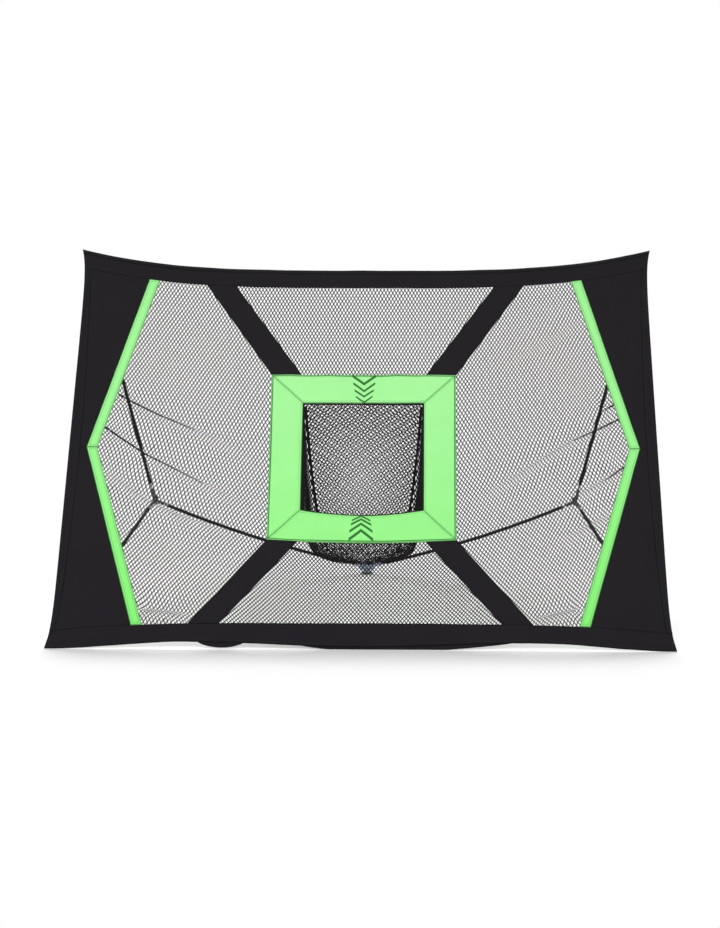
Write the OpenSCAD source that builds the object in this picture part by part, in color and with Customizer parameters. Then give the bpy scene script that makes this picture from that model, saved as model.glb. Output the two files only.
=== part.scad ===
// Golf chipping net: a fabric screen with a catching pocket, held open by a folding rod frame behind it.
// Millimetres, +Z up, the player stands on the -Y side, the floor is Z = 0.

/* [Screen] */
// Lean of the screen from the vertical, in degrees
screen_lean = 38; // [25:1:50]
// Width of the screen between its two lower corners
screen_w = 1300; // [1100:10:1500]
// Width of the screen between its two upper corners
screen_top_w = 1254; // [1060:10:1450]
// Height of the screen along its slope, corner to corner
screen_h = 968; // [850:2:1150]
// How far the top edge sags between its corners
top_sag = 54; // [30:1:80]
// Highest lift of the bottom edge off the floor line
bottom_lift = 17; // [8:1:30]
// Extra reach of the pulled-out corners past the side edge
corner_flare = 12; // [4:1:20]
// Thickness of the woven cloth
cloth_t = 2; // [1.2:0.1:3]

/* [Bands and panels] */
// Height of the band along the top edge
top_band_h = 44; // [30:1:60]
// Height of the band along the bottom edge, at its middle
bottom_band_h = 53; // [36:1:70]
// Width of the side hem where it is widest
hem_w = 23; // [14:1:34]
// Width of the side hem at its ends
hem_end_w = 9; // [5:1:12]

/* [Window] */
// Width of the window where the trims meet the two bands
window_end_w = 949; // [860:1:1000]
// Width of the window between the points of its two V trims
window_mid_w = 1179; // [1080:1:1210]
// Height of the V points above the bottom edge, along the slope
apex_h = 471; // [430:1:510]
// Width of the V trims, measured level
trim_w = 23; // [14:1:34]
// Thickness of the V trims
trim_t = 2.8; // [2:0.1:4]

/* [Pocket] */
// Outer side of the square pocket border
border_w = 398; // [340:2:440]
// Side of the square pocket mouth
mouth_w = 260; // [220:2:300]
// Height of the mouth's centre above the bottom edge, along the slope
pocket_h = 451; // [420:1:480]
// Sag of the mouth's lower side at its middle
pocket_sag = 12.5; // [0:0.5:18]
// Thickness of the padded border
border_t = 3; // [2:0.1:5]
// Depth of the catching bag behind the mouth, level
bag_depth = 140; // [100:5:170]
// Height of the bag's lowest point above the floor
bag_floor_gap = 120; // [80:2:140]
// Wall of the knitted bag
bag_wall = 2.4; // [1.6:0.1:4]

/* [Straps] */
// Width of the four straps, measured level
strap_w = 65; // [40:1:80]
// Outer edge of the upper straps where they meet the top band, from the centre line
strap_top_x = 348; // [300:1:400]
// Outer edge of the lower straps where they meet the bottom band, from the centre line
strap_low_x = 357; // [300:1:400]
// Thickness of the straps
strap_t = 2.4; // [1.6:0.1:3.5]

/* [Netting] */
// Width of a net cell
cell_w = 56; // [50:1:90]
// Height of a net cell
cell_h = 82; // [74:1:120]
// Width of the net's strands
strand_w = 6; // [3:0.5:10]
// Thickness of the net
net_t = 1.6; // [1:0.1:2.4]

/* [Frame] */
// Distance of the side joints from the centre line
side_joint_x = 465; // [430:1:500]
// Distance of the side joints behind the screen
side_joint_back = 262; // [220:1:300]
// Height of the side joints along the slope
side_joint_h = 480; // [450:1:510]
// Distance of the rear joint behind the screen
rear_joint_back = 584; // [520:1:640]
// Height of the rear joint's centre above the floor
rear_joint_z = 16; // [15:0.5:24]
// Bow of each rear rod
rear_bow = 22; // [8:1:40]
// Half the distance between the two pins of the rear joint
hub_pin_x = 11; // [10:0.5:16]
// Diameter of the glass-fibre rods
rod_d = 4.2; // [3.5:0.1:4.8]
// Outer diameter of the sleeves on the rods
sleeve_d = 7.4; // [6.6:0.1:9]
// Length of bare rod left between a socket and its sleeve
bare_rod = 12; // [6:1:30]

/* [Joints] */
// Diameter of the hinge pins
pin_d = 3; // [2.4:0.1:3.6]
// Radius of a hinge eye
eye_r = 4.8; // [4.2:0.1:5.6]
// Height of a hinge eye
eye_h = 10; // [8:0.5:12]
// Thickness of the yoke plates
plate_t = 2.2; // [1.6:0.1:2.6]
// Outer diameter of the rod sockets
socket_d = 6.6; // [6.2:0.1:7.4]
// Distance of a rod's end from the pin it turns about
socket_start = 11; // [10:0.5:15]
// Length of rod held in a socket
socket_grip = 14; // [10:1:20]
// Radial running clearance between an eye and its pin
running_gap = 0.05; // [0.03:0.01:0.08]
// Clearance of a rod in its socket, tip or sleeve, on the radius
seat_gap = 0.1; // [0.05:0.05:0.2]
// Clearance between an eye's end and its yoke plate
side_gap = 0.3; // [0.2:0.1:0.6]

/* [Foot and tips] */
// Radius of the rear foot
foot_r = 13; // [11:1:20]
// Thickness of the rubber pad under the foot
pad_t = 3; // [2:0.5:4]
// Diameter of the ball caps on the corner rods
tip_d = 9.6; // [8.4:0.2:12]
// Reach of a ball cap over its rod
tip_grip = 18; // [12:1:26]
// Height of the upper ball caps along the slope
tip_top_h = 946; // [920:1:955]
// Height of the lower ball caps along the slope
tip_low_h = 24; // [20:1:40]
// Distance of the ball caps from the screen's outer corners, level
tip_inset = 14; // [12:1:24]
// Depth of the corner pouches around the ball caps
pouch_l = 44; // [30:1:60]
// Side of the corner patches that carry the pouches
patch_l = 78; // [60:1:90]
// Thickness of the corner patches
patch_t = 1.4; // [1:0.1:2]

/* [Hidden] */
$fn = 48;

cloth_black = "#262326";
trim_green = "#8fe87c";
net_black = "#1d1c1d";
rod_grey = "#5f6a74";
sleeve_black = "#151516";
connector_black = "#2b2c2e";
steel = "#b9bdc2";

far = 2000; // reaches past the whole screen

// The depth of the object from the screen's lower edge to the back of the foot sets the origin.
rear_joint_h = (rear_joint_z + rear_joint_back * sin(screen_lean)) / cos(screen_lean);
rear_joint_y = rear_joint_h * sin(screen_lean) + rear_joint_back * cos(screen_lean);
front_y = -(rear_joint_y + foot_r) / 2;
lift = cloth_t / 2 * sin(screen_lean); // keeps the lowest thread of the leaning cloth on the floor

// Curves of the screen, in its own plane: X across, Y up the slope.
half_low = screen_w / 2;
half_top = screen_top_w / 2;
flare_h = 42; // height over which a corner's flare fades out
seam_step = 30; // spacing of the points along a curved edge

function side_x(h) = let(f = h / screen_h)
    (half_low - corner_flare) * (1 - f) + (half_top - corner_flare) * f
    + corner_flare * (exp(-h / flare_h) + exp((h - screen_h) / flare_h));
function top_edge(x) = screen_h - top_sag + top_sag * pow(min(1, abs(x) / half_top), 3.4);
function top_seam(x) = top_edge(x) - top_band_h;
crest_x = 354; // where the bottom edge lifts highest
middle_lift = 0.4 * bottom_lift;
function bottom_edge(x) = let(a = abs(x))
    a < crest_x
    ? (bottom_lift + middle_lift) / 2 - (bottom_lift - middle_lift) / 2 * cos(180 * a / crest_x)
    : bottom_lift / 2 * (1 + cos(180 * min(1, (a - crest_x) / (half_low - crest_x))));
function bottom_seam(x) = middle_lift + bottom_band_h
    - 0.42 * bottom_band_h * pow(abs(x) / half_low, 4);
function hem_x(h) = side_x(h) - hem_end_w
    - (hem_w - hem_end_w) * sin(180 * max(0, min(1, h / screen_h)));

// Stations from a to b: the two ends and every whole step between, so that neighbours share points.
function stations(a, b) = let(s = b > a ? 1 : -1)
    [a, for (k = [floor(s * a / seam_step) + 1:1:ceil(s * b / seam_step) - 1]) s * k * seam_step, b];
function top_line(a, b) = [for (x = stations(a, b)) [x, top_edge(x)]];
function top_seam_line(a, b) = [for (x = stations(a, b)) [x, top_seam(x)]];
function bottom_line(a, b) = [for (x = stations(a, b)) [x, bottom_edge(x)]];
function bottom_seam_line(a, b) = [for (x = stations(a, b)) [x, bottom_seam(x)]];
function side_line(a, b) = [for (h = stations(a, b)) [side_x(h), h]];
function hem_line(a, b) = [for (h = stations(a, b)) [hem_x(h), h]];

// Heights where the seams reach the side edge and the hem, for the right side.
top_side_h = top_seam(half_top - corner_flare);
low_side_h = bottom_seam(half_low - corner_flare);
top_side_x = side_x(top_side_h);
low_side_x = side_x(low_side_h);
top_hem_x = hem_x(top_side_h);
low_hem_x = hem_x(low_side_h);
top_hem_h = top_seam(top_hem_x);
low_hem_h = bottom_seam(low_hem_x);

// The window's edge: a straight run from each band to the V point.
trim_top_x = window_end_w / 2;
trim_apex_x = window_mid_w / 2;
trim_top_h = top_seam(trim_top_x);
trim_low_h = bottom_seam(trim_top_x);
net_top_x = trim_top_x - trim_w;
net_apex_x = trim_apex_x - trim_w;

// The pocket's square and the straps that run from its corners.
border_half = border_w / 2;
mouth_half = mouth_w / 2;
pocket_top = pocket_h + border_half;
pocket_low = pocket_h - border_half;
strap_in_top = strap_top_x - strap_w;
strap_in_low = strap_low_x - strap_w;
border_in = border_half - strap_w; // where a strap's inner edge leaves the border
// The border's lower side hangs through between the mitres, less at its outer edge.
function sag_at(x, below) = below <= 0 ? 0
    : pocket_sag * (1 - (below - mouth_half) / (border_w - mouth_w)) * max(0, 1 - pow(x / below, 2));
function border_line(a, b) = [for (x = stations(a, b)) [x, pocket_low - sag_at(x, border_half)]];
function mouth_line(a, b) = [for (x = stations(a, b)) [x, pocket_h - mouth_half - sag_at(x, mouth_half)]];

// Joints of the right side, in the screen's frame with Z towards the player.
side_joint = [side_joint_x, side_joint_h, -side_joint_back];
hub_joint = [hub_pin_x, rear_joint_h, -rear_joint_back];
pouch_gap = 0.3; // between a ball cap and its pouch
tip_back = tip_d / 2 + cloth_t / 2 + patch_t + 2 * pouch_gap;
tip_top = [side_x(tip_top_h) - tip_inset, tip_top_h, -tip_back];
tip_low = [side_x(tip_low_h) - tip_inset, tip_low_h, -tip_back];

function unit(v) = v / norm(v);
upper_dir = unit(tip_top - side_joint);
lower_dir = unit(tip_low - side_joint);

// The rear rod is one arc from pin to pin.
arm_chord = norm(side_joint - hub_joint);
arm_x = unit(side_joint - hub_joint);
arm_axis = unit(cross(arm_x, [arm_x[2], 0, -arm_x[0]]));
arm_r = (arm_chord * arm_chord / 4 + rear_bow * rear_bow) / (2 * rear_bow);
arm_half = asin(arm_chord / 2 / arm_r);
function arm_angle(l) = l / arm_r * 180 / PI;
rod_end = socket_start + socket_grip;
sleeve_start = rod_end + bare_rod;

// Places children that are drawn for the right side on the left side too.
module on_side(side) {
    if (side == "left") mirror([1, 0, 0]) children();
    else children();
}

// The screen's own frame: X across, Y up the slope, Z out of the front face.
module on_screen() {
    translate([0, front_y, lift]) rotate([90 - screen_lean, 0, 0]) children();
}

module sheet(points, t) {
    on_screen() linear_extrude(t, center = true) polygon(points);
}

// A straight piece drawn along +Z, laid from point a along direction d.
module along(a, d) {
    translate(a) rotate([0, acos(d[2]), atan2(d[1], d[0])]) children();
}

module tube(r_out, r_in, h) {
    difference() {
        cylinder(r = r_out, h = h);
        translate([0, 0, -1]) cylinder(r = r_in, h = h + 2);
    }
}

// An upright cylinder along the slope, centred at a height.
module slope_cylinder(r, h) {
    rotate([-90, 0, 0]) translate([0, 0, -h / 2]) cylinder(r = r, h = h);
}

// Bands, panels and hems
module top_band() {
    color(cloth_black) sheet(concat(
        top_line(-half_top, half_top),
        [[top_side_x, top_side_h]],
        top_seam_line(half_top - corner_flare, corner_flare - half_top),
        [[-top_side_x, top_side_h]]), cloth_t);
}

module bottom_band() {
    color(cloth_black) sheet(concat(
        bottom_line(-half_low, half_low),
        [[low_side_x, low_side_h]],
        bottom_seam_line(half_low - corner_flare, corner_flare - half_low),
        [[-low_side_x, low_side_h]]), cloth_t);
}

module side_panel_upper(side) {
    color(cloth_black) on_side(side) sheet(concat(
        hem_line(apex_h, top_hem_h - 1),
        top_seam_line(top_hem_x, trim_top_x),
        [[trim_apex_x, apex_h]]), cloth_t);
}

module side_panel_lower(side) {
    color(cloth_black) on_side(side) sheet(concat(
        hem_line(apex_h, low_hem_h + 1),
        bottom_seam_line(low_hem_x, trim_top_x),
        [[trim_apex_x, apex_h]]), cloth_t);
}

module side_hem(side) {
    color(cloth_black) on_side(side) sheet(concat(
        side_line(low_side_h, top_side_h),
        [[top_hem_x, top_hem_h]],
        hem_line(top_hem_h - 1, low_hem_h + 1),
        [[low_hem_x, low_hem_h]]), cloth_t);
}

// A strip behind the bottom band that droops to the floor in two places.
flap_top = 34;
flap_end = 340;
flap_low = 2.2; // keeps the strip's rear edge above the floor
function droop(x, a, b) = x > a && x < b ? pow(sin(180 * (x - a) / (b - a)), 0.6) : 0;
function flap_edge(x) = max(flap_low, bottom_edge(x) + 4
    - 0.9 * bottom_lift * (droop(x, -132, 322) + droop(x, -338, -238)));
module ground_flap() {
    color(cloth_black) on_screen() translate([0, 0, -cloth_t / 2 - patch_t]) linear_extrude(patch_t)
        polygon(concat(
            [for (i = [0:34]) let(x = -flap_end + i * 2 * flap_end / 34) [x, flap_edge(x)]],
            [[flap_end, flap_top], [-flap_end, flap_top]]));
}

// Netting: a plate with rows of long six-sided gaps, cut back to a margin inside the outline.
gap_w = cell_w - strand_w;
gap_h = cell_h / 2 - strand_w / 2;
net_margin = 5;
least_gap = 260; // square millimetres; a smaller sliver of a gap stays closed
function gap_at(x, y) = [
    [x - gap_w / 2, y - gap_h * 0.3], [x, y - gap_h * 0.78], [x + gap_w / 2, y - gap_h * 0.3],
    [x + gap_w / 2, y + gap_h * 0.3], [x, y + gap_h * 0.78], [x - gap_w / 2, y + gap_h * 0.3]];
// Distance of p inside the line from a to b, less the margin.
function depth(p, a, b) = let(d = b - a)
    (d[0] * (p[1] - a[1]) - d[1] * (p[0] - a[0])) / norm(d) - net_margin;
function crossing(p, q, u, v) = p + (q - p) * u / (u - v);
function cut_by(gap, a, b) = [for (i = [0:1:len(gap) - 1])
    let(p = gap[i], q = gap[(i + 1) % len(gap)], u = depth(p, a, b), v = depth(q, a, b))
        each concat(u >= 0 ? [p] : [], u * v < 0 ? [crossing(p, q, u, v)] : [])];
function cut_to(gap, outline, i = 0) = i == len(outline) || len(gap) < 3 ? gap
    : cut_to(cut_by(gap, outline[i], outline[(i + 1) % len(outline)]), outline, i + 1);
function area(gap) = len(gap) < 3 ? 0 : sum([for (i = [0:len(gap) - 1])
    let(p = gap[i], q = gap[(i + 1) % len(gap)]) (p[0] * q[1] - p[1] * q[0]) / 2]);
function sum(v, i = 0) = i == len(v) ? 0 : v[i] + sum(v, i + 1);
function gaps_in(outline) = [
    for (j = [0:ceil(screen_h / cell_h * 2)], i = [-16:16])
        let(g = cut_to(gap_at((i + (j % 2) / 2) * cell_w, j * cell_h / 2), outline))
            if (area(g) > least_gap) g];
// The outline runs anticlockwise; each gap becomes a path of its own.
module netting(outline) {
    gaps = gaps_in(outline);
    rings = concat([outline], gaps);
    starts = [for (k = 0, n = 0; k < len(rings); n = n + len(rings[k]), k = k + 1) n];
    color(net_black) on_screen() linear_extrude(net_t, center = true) polygon(
        [for (r = rings, p = r) p],
        [for (k = [0:len(rings) - 1]) [for (i = [0:len(rings[k]) - 1]) starts[k] + i]]);
}

module net_top() {
    netting(concat([[-border_in, pocket_top], [border_in, pocket_top]],
        top_seam_line(strap_in_top, -strap_in_top)));
}

module net_bottom() {
    netting(concat(bottom_seam_line(-strap_in_low, strap_in_low), border_line(border_in, -border_in)));
}

function side_net_outline() = concat(
    bottom_seam_line(strap_low_x, net_top_x),
    [[net_apex_x, apex_h]],
    top_seam_line(net_top_x, strap_top_x),
    [[border_half, pocket_top], [border_half, pocket_low]]);
function mirrored(points) = [for (i = [len(points) - 1:-1:0]) [-points[i][0], points[i][1]]];
module net_left() {
    netting(mirrored(side_net_outline()));
}

module net_right() {
    netting(side_net_outline());
}

// Straps and trims
module strap_upper(side) {
    color(cloth_black) on_side(side) sheet(concat(
        [[border_in, pocket_top], [border_half, pocket_top]],
        top_seam_line(strap_top_x, strap_in_top)), strap_t);
}

module strap_lower(side) {
    color(cloth_black) on_side(side) sheet(concat(
        border_line(border_half, border_in), bottom_seam_line(strap_in_low, strap_low_x)), strap_t);
}

module trim_upper(side) {
    color(trim_green) on_side(side) sheet(concat(
        [[net_apex_x, apex_h], [trim_apex_x, apex_h]],
        top_seam_line(trim_top_x, net_top_x)), trim_t);
}

module trim_lower(side) {
    color(trim_green) on_side(side) sheet(concat(
        [[trim_apex_x, apex_h], [net_apex_x, apex_h]],
        bottom_seam_line(net_top_x, trim_top_x)), trim_t);
}

// The mitred pocket border: three straight sides, drawn at the top and turned about the mouth's
// centre, and a lower side that sags.
module border_bottom() {
    color(trim_green) sheet(concat(
        border_line(-border_half, -border_in), border_line(-border_in, border_in),
        border_line(border_in, border_half), mouth_line(mouth_half, -mouth_half)), border_t);
}

module border_side(turn) {
    color(trim_green) on_screen() translate([0, pocket_h, 0]) rotate([0, 0, turn])
        linear_extrude(border_t, center = true)
            polygon([[-border_half, border_half], [-mouth_half, mouth_half],
                [mouth_half, mouth_half], [border_half, border_half]]);
}

// The catching bag hangs from a rim sewn behind the border and sags to a rounded bottom.
// Its wall is a stack of rings between two falling lines, the front wall's and the back wall's.
rim_w = 8;
rim_t = 1.2;
ring_points = 32;
ring_levels = 10;
mouth_back = border_t / 2 + rim_t;
function slope_point(h, back) = [
    front_y + h * sin(screen_lean) + back * cos(screen_lean),
    lift + h * cos(screen_lean) - back * sin(screen_lean)];
function bend(p, q, r, f) = (1 - f) * (1 - f) * p + 2 * f * (1 - f) * q + f * f * r;
bag_mid_y = slope_point(pocket_h + mouth_half, 0)[0] - bag_depth / 2;
bag_round = 34; // height of the bag's rounded bottom
bag_flat = 8; // half the length of its lowest run
bag_bulge = 6; // how far the back wall swells past the mouth
// wall is the inset of the surface: 0 outside, bag_wall inside
function bag_front(f, wall) = let(p = slope_point(pocket_h - mouth_half + wall, mouth_back))
    bend(p, [bag_mid_y - bag_depth / 2 + wall, bag_floor_gap + bag_round + wall],
        [bag_mid_y - bag_flat, bag_floor_gap + wall], f);
function bag_back(f, wall) = let(p = slope_point(pocket_h + mouth_half - wall, mouth_back))
    bend(p, [bag_mid_y + bag_depth / 2 + bag_bulge - wall, bag_floor_gap + bag_round + wall],
        [bag_mid_y + bag_flat, bag_floor_gap + wall], f);
function bag_half(f, wall) = (mouth_half - wall) * (1 - 0.08 * f) * sqrt(1 - 0.96 * pow(f, 5));
// A ring is a square with rounded corners at the mouth and grows rounder on its way down.
function soften(v, f) = sign(v) * pow(abs(v), 0.12 + 0.7 * f);
// The back of the bag is narrower than its front.
bag_taper = 0.14;
function narrowed(f, back) = 1 - bag_taper * min(1, 2 * f) * (1 + soften(back, f)) / 2;
// The front wall hangs from the sagging side of the mouth; the sag fades out on the way down.
function bag_sag(x, f, front) = front <= 0 ? [0, 0]
    : -sag_at(x, mouth_half) * front * pow(1 - f, 2) * [sin(screen_lean), cos(screen_lean)];
function bag_ring(f, wall) = let(
    a = bag_front(f, wall), b = bag_back(f, wall), m = (a + b) / 2, d = (b - a) / 2)
    [for (i = [0:ring_points - 1]) let(
        t = 360 * (i + 0.5) / ring_points, v = soften(sin(t), f),
        x = bag_half(f, wall) * narrowed(f, sin(t)) * soften(cos(t), f),
        p = m + d * v + bag_sag(x, f, -v)) [x, p[0], p[1]]];
function rim_ring(back) = let(half = mouth_half + rim_w) [for (i = [0:ring_points - 1])
    let(t = 360 * (i + 0.5) / ring_points, x = half * soften(cos(t), 0), v = half * soften(sin(t), 0),
        p = slope_point(pocket_h + v - sag_at(x, -v), back)) [x, p[0], p[1]]];
module catch_bag() {
    n = ring_points;
    rings = concat(
        [for (k = [ring_levels:-1:0]) bag_ring(k / ring_levels, bag_wall)],
        [rim_ring(mouth_back - rim_t), rim_ring(mouth_back)],
        [for (k = [0:ring_levels]) bag_ring(k / ring_levels, 0)]);
    last = len(rings) - 1;
    points = concat([for (r = rings, p = r) p],
        [[0, bag_mid_y, bag_floor_gap + bag_wall], [0, bag_mid_y, bag_floor_gap]]);
    walls = [for (k = [0:last - 1], i = [0:n - 1], half = [0, 1]) let(j = (i + 1) % n)
        half == 0 ? [k * n + i, (k + 1) * n + i, (k + 1) * n + j]
        : [k * n + i, (k + 1) * n + j, k * n + j]];
    bottoms = [for (i = [0:n - 1], end = [0, 1]) let(j = (i + 1) % n)
        end == 0 ? [i, j, (last + 1) * n] : [last * n + j, last * n + i, (last + 1) * n + 1]];
    color(net_black) polyhedron(points, concat(walls, bottoms), convexity = 6);
}

// A patch behind each corner with a blind pouch for the rod's ball cap.
pouch_wall = 1.2;
pouch_taper = 1.2; // how much the blind end narrows
module pouch_tube(tip, d) {
    along(tip - (tip_d / 2 + pouch_gap + pouch_wall) * d, d)
        cylinder(r = tip_d / 2 + pouch_gap + pouch_wall, h = pouch_l);
}
module pouch_bore(tip, d) {
    r = tip_d / 2 + pouch_gap;
    along(tip, d) cylinder(r = r, h = pouch_l);
    along(tip, -d) cylinder(r1 = r, r2 = r - pouch_taper, h = r);
}
module corner_pouch(tip, d, patch) {
    difference() {
        union() {
            translate([0, 0, -cloth_t / 2 - patch_t]) linear_extrude(patch_t) polygon(patch);
            intersection() {
                pouch_tube(tip, d);
                translate([0, 0, -cloth_t / 2 - patch_t / 2 - far]) linear_extrude(far)
                    square(2 * far, center = true);
            }
        }
        pouch_bore(tip, d);
    }
}
patch_inset = 3; // from the screen's side edge
patch_slant = 12; // the patch's long edge follows the sagging band
patch_top_h = tip_top_h + 12;
patch_low_h = tip_low_h - 16;
function patch_x(h) = side_x(h) - patch_inset;
module corner_pouch_upper(side) {
    h = patch_top_h;
    color(cloth_black) on_side(side) on_screen() corner_pouch(tip_top, -upper_dir, [
        [patch_x(h), h], [patch_x(h) - patch_l, h - patch_slant], [patch_x(h - patch_l), h - patch_l]]);
}
module corner_pouch_lower(side) {
    h = patch_low_h;
    color(cloth_black) on_side(side) on_screen() corner_pouch(tip_low, -lower_dir, [
        [patch_x(h), h], [patch_x(h + patch_l), h + patch_l], [patch_x(h) - patch_l, h + patch_slant]]);
}

// Frame: the right side's pieces in the screen's frame
module corner_rod(tip, d) {
    along(side_joint + socket_start * d, d)
        cylinder(d = rod_d, h = norm(tip - side_joint) - socket_start);
}
module rod_upper(side) {
    color(rod_grey) on_side(side) on_screen() corner_rod(tip_top, upper_dir);
}
module rod_lower(side) {
    color(rod_grey) on_side(side) on_screen() corner_rod(tip_low, lower_dir);
}

module corner_sleeve(tip, d) {
    length = norm(tip - side_joint) - sleeve_start - tip_grip - side_gap;
    along(side_joint + sleeve_start * d, d) tube(sleeve_d / 2, rod_d / 2 + seat_gap, length);
}
module sleeve_upper(side) {
    color(sleeve_black) on_side(side) on_screen() corner_sleeve(tip_top, upper_dir);
}
module sleeve_lower(side) {
    color(sleeve_black) on_side(side) on_screen() corner_sleeve(tip_low, lower_dir);
}

// Ball cap: a ball with a collar that the rod's end is pressed into.
collar_step = 0.8; // how much narrower the collar is than the ball
module ball_cap(tip, d) {
    along(tip - tip_grip * d, d) difference() {
        union() {
            cylinder(r = tip_d / 2 - collar_step, h = tip_grip);
            translate([0, 0, tip_grip]) sphere(r = tip_d / 2);
        }
        translate([0, 0, -1]) cylinder(r = rod_d / 2 + seat_gap, h = tip_grip + 1);
    }
}
module tip_upper(side) {
    color(connector_black) on_side(side) on_screen() ball_cap(tip_top, upper_dir);
}
module tip_lower(side) {
    color(connector_black) on_side(side) on_screen() ball_cap(tip_low, lower_dir);
}

lug_r = eye_r + 1.4; // radius of the yoke plates
eye_clear = 0.6; // around a turning eye
web_gap = 0.8; // between an eye and the web behind it
web_t = 2.4;
web_half = 4;
socket_root = 5; // solid length of a socket before the rod's end
lip_out = 0.5; // how far the lip round a socket's mouth stands out
lip_w = 2;

// A socket along a rod's line, from near the joint to the lip at the end of its grip.
module socket(d) {
    along(side_joint + (socket_start - socket_root) * d, d) {
        cylinder(d = socket_d, h = socket_grip + socket_root);
        translate([0, 0, socket_grip + socket_root - lip_w])
            cylinder(r = socket_d / 2 + lip_out, h = lip_w);
    }
}
module socket_bore(d) {
    along(side_joint + socket_start * d, d) cylinder(r = rod_d / 2 + seat_gap, h = socket_grip + 1);
}
yoke_in = eye_h / 2 + side_gap;
yoke_out = yoke_in + plate_t;
wing_turn = atan2(side_joint_back, side_joint_x - (half_low + half_top) / 2); // towards the screen's edge

// Side connector: two plates around the rear rod's eye, a web between them and two rod sockets.
module side_connector(side) {
    color(connector_black) on_side(side) on_screen() difference() {
        union() {
            for (s = [-1, 1]) translate(side_joint + [0, s * (yoke_in + plate_t / 2), 0])
                slope_cylinder(lug_r, plate_t);
            translate(side_joint) rotate([0, -wing_turn, 0])
                translate([eye_r + web_gap, -yoke_out, -web_half])
                    cube([web_t, 2 * yoke_out, 2 * web_half]);
            for (s = [-1, 1]) translate(side_joint) rotate([0, -wing_turn, 0])
                translate([0, s > 0 ? yoke_in : -yoke_out, -web_half])
                    cube([eye_r + web_gap + web_t, plate_t, 2 * web_half]);
            socket(upper_dir);
            socket(lower_dir);
        }
        translate(side_joint) slope_cylinder(pin_d / 2, 2 * yoke_out + 2);
        translate(side_joint) slope_cylinder(eye_r + eye_clear, 2 * yoke_in);
        socket_bore(upper_dir);
        socket_bore(lower_dir);
    }
}

// A riveted pin lies flush in the side connector, whose sockets leave no room for heads.
module side_pin(side) {
    color(steel) on_side(side) on_screen() translate(side_joint) slope_cylinder(pin_d / 2, 2 * yoke_out);
}

// The arc of the rear rod: drawn about Z, then laid from the hub's pin to the side pin.
module arm_frame() {
    y = arm_axis;
    z = cross(arm_x, y);
    mid = (side_joint + hub_joint) / 2;
    c = mid + (arm_r - rear_bow) * z;
    multmatrix([
        [arm_x[0], -z[0], y[0], c[0]],
        [arm_x[1], -z[1], y[1], c[1]],
        [arm_x[2], -z[2], y[2], c[2]]]) children();
}
module arc_tube(r_out, r_in, start, end) {
    a = 90 + arm_half - arm_angle(start);
    b = 90 - arm_half + arm_angle(end);
    rotate([0, 0, b]) rotate_extrude(angle = a - b) translate([arm_r, 0]) difference() {
        circle(r = r_out);
        if (r_in > 0) circle(r = r_in);
    }
}
module rear_rod(side) {
    color(rod_grey) on_side(side) on_screen() arm_frame()
        arc_tube(rod_d / 2, 0, socket_start, socket_start);
}
rear_sleeve_end = 40; // the bare stretch beside the rear joint is longer
module rear_sleeve(side) {
    color(sleeve_black) on_side(side) on_screen() arm_frame()
        arc_tube(sleeve_d / 2, rod_d / 2 + seat_gap, rear_sleeve_end, sleeve_start);
}

// An eye with a socket for one end of the rear rod.
module arc_socket(at_hub, r_out, r_in, from, to) {
    length = arm_half * 2 * PI * arm_r / 180;
    if (at_hub) arc_tube(r_out, r_in, from, length - to);
    else arc_tube(r_out, r_in, length - to, from);
}
module rod_eye(p, at_hub) {
    difference() {
        union() {
            translate(p) slope_cylinder(eye_r, eye_h);
            arm_frame() arc_socket(at_hub, socket_d / 2, 0, 2, rod_end);
            arm_frame() arc_socket(at_hub, socket_d / 2 + lip_out, 0, rod_end - lip_w, rod_end);
        }
        translate(p) slope_cylinder(pin_d / 2 + running_gap, eye_h + 2);
        arm_frame() arc_socket(at_hub, rod_d / 2 + seat_gap, 0, socket_start, rod_end + 1);
    }
}
module side_eye(side) {
    color(connector_black) on_side(side) on_screen() rod_eye(side_joint, false);
}
module hub_eye(side) {
    color(connector_black) on_side(side) on_screen() rod_eye(hub_joint, true);
}

// Rear hub: two plates on the slope joined by a web between the eyes, standing on a round foot.
hub_web = 2 * (hub_pin_x - eye_r - web_gap);
foot_plate = 2;
post_r = 6.5;
shoulder = 3; // the post widens by this much where it meets the foot
post_gap = 6; // from the post's top to the rear joint's centre
module hub_plate(h) {
    translate([0, h, -rear_joint_back]) {
        for (x = [-1, 1]) translate([x * hub_pin_x, 0, 0]) slope_cylinder(lug_r, plate_t);
        cube([2 * hub_pin_x, plate_t, 2 * lug_r], center = true);
    }
}
module rear_hub() {
    color(connector_black) difference() {
        union() {
            on_screen() {
                for (s = [-1, 1]) hub_plate(rear_joint_h + s * (yoke_in + plate_t / 2));
                translate([0, rear_joint_h, -rear_joint_back])
                    cube([hub_web, 2 * yoke_in, 2 * lug_r], center = true);
            }
            translate([0, front_y + rear_joint_y, pad_t]) {
                cylinder(r = foot_r, h = foot_plate);
                translate([0, 0, foot_plate]) cylinder(r1 = post_r + shoulder, r2 = post_r, h = shoulder);
                cylinder(r = post_r, h = rear_joint_z - pad_t - post_gap);
            }
        }
        on_screen() for (x = [-1, 1]) translate([x * hub_pin_x, rear_joint_h, -rear_joint_back]) {
            slope_cylinder(pin_d / 2, 2 * yoke_out + 40);
            slope_cylinder(eye_r + eye_clear, 2 * yoke_in);
        }
    }
}

// Two headed pins: domed heads sit on the outer faces of the hub's plates.
head_t = 1.2;
head_r = pin_d / 2 + 1.4;
module hub_pins() {
    color(steel) on_screen() for (x = [-1, 1])
        translate([x * hub_pin_x, rear_joint_h, -rear_joint_back]) {
            slope_cylinder(pin_d / 2, 2 * yoke_out);
            for (s = [-1, 1]) translate([0, s * (yoke_out + head_t / 2), 0])
                slope_cylinder(head_r, head_t);
        }
}

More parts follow.
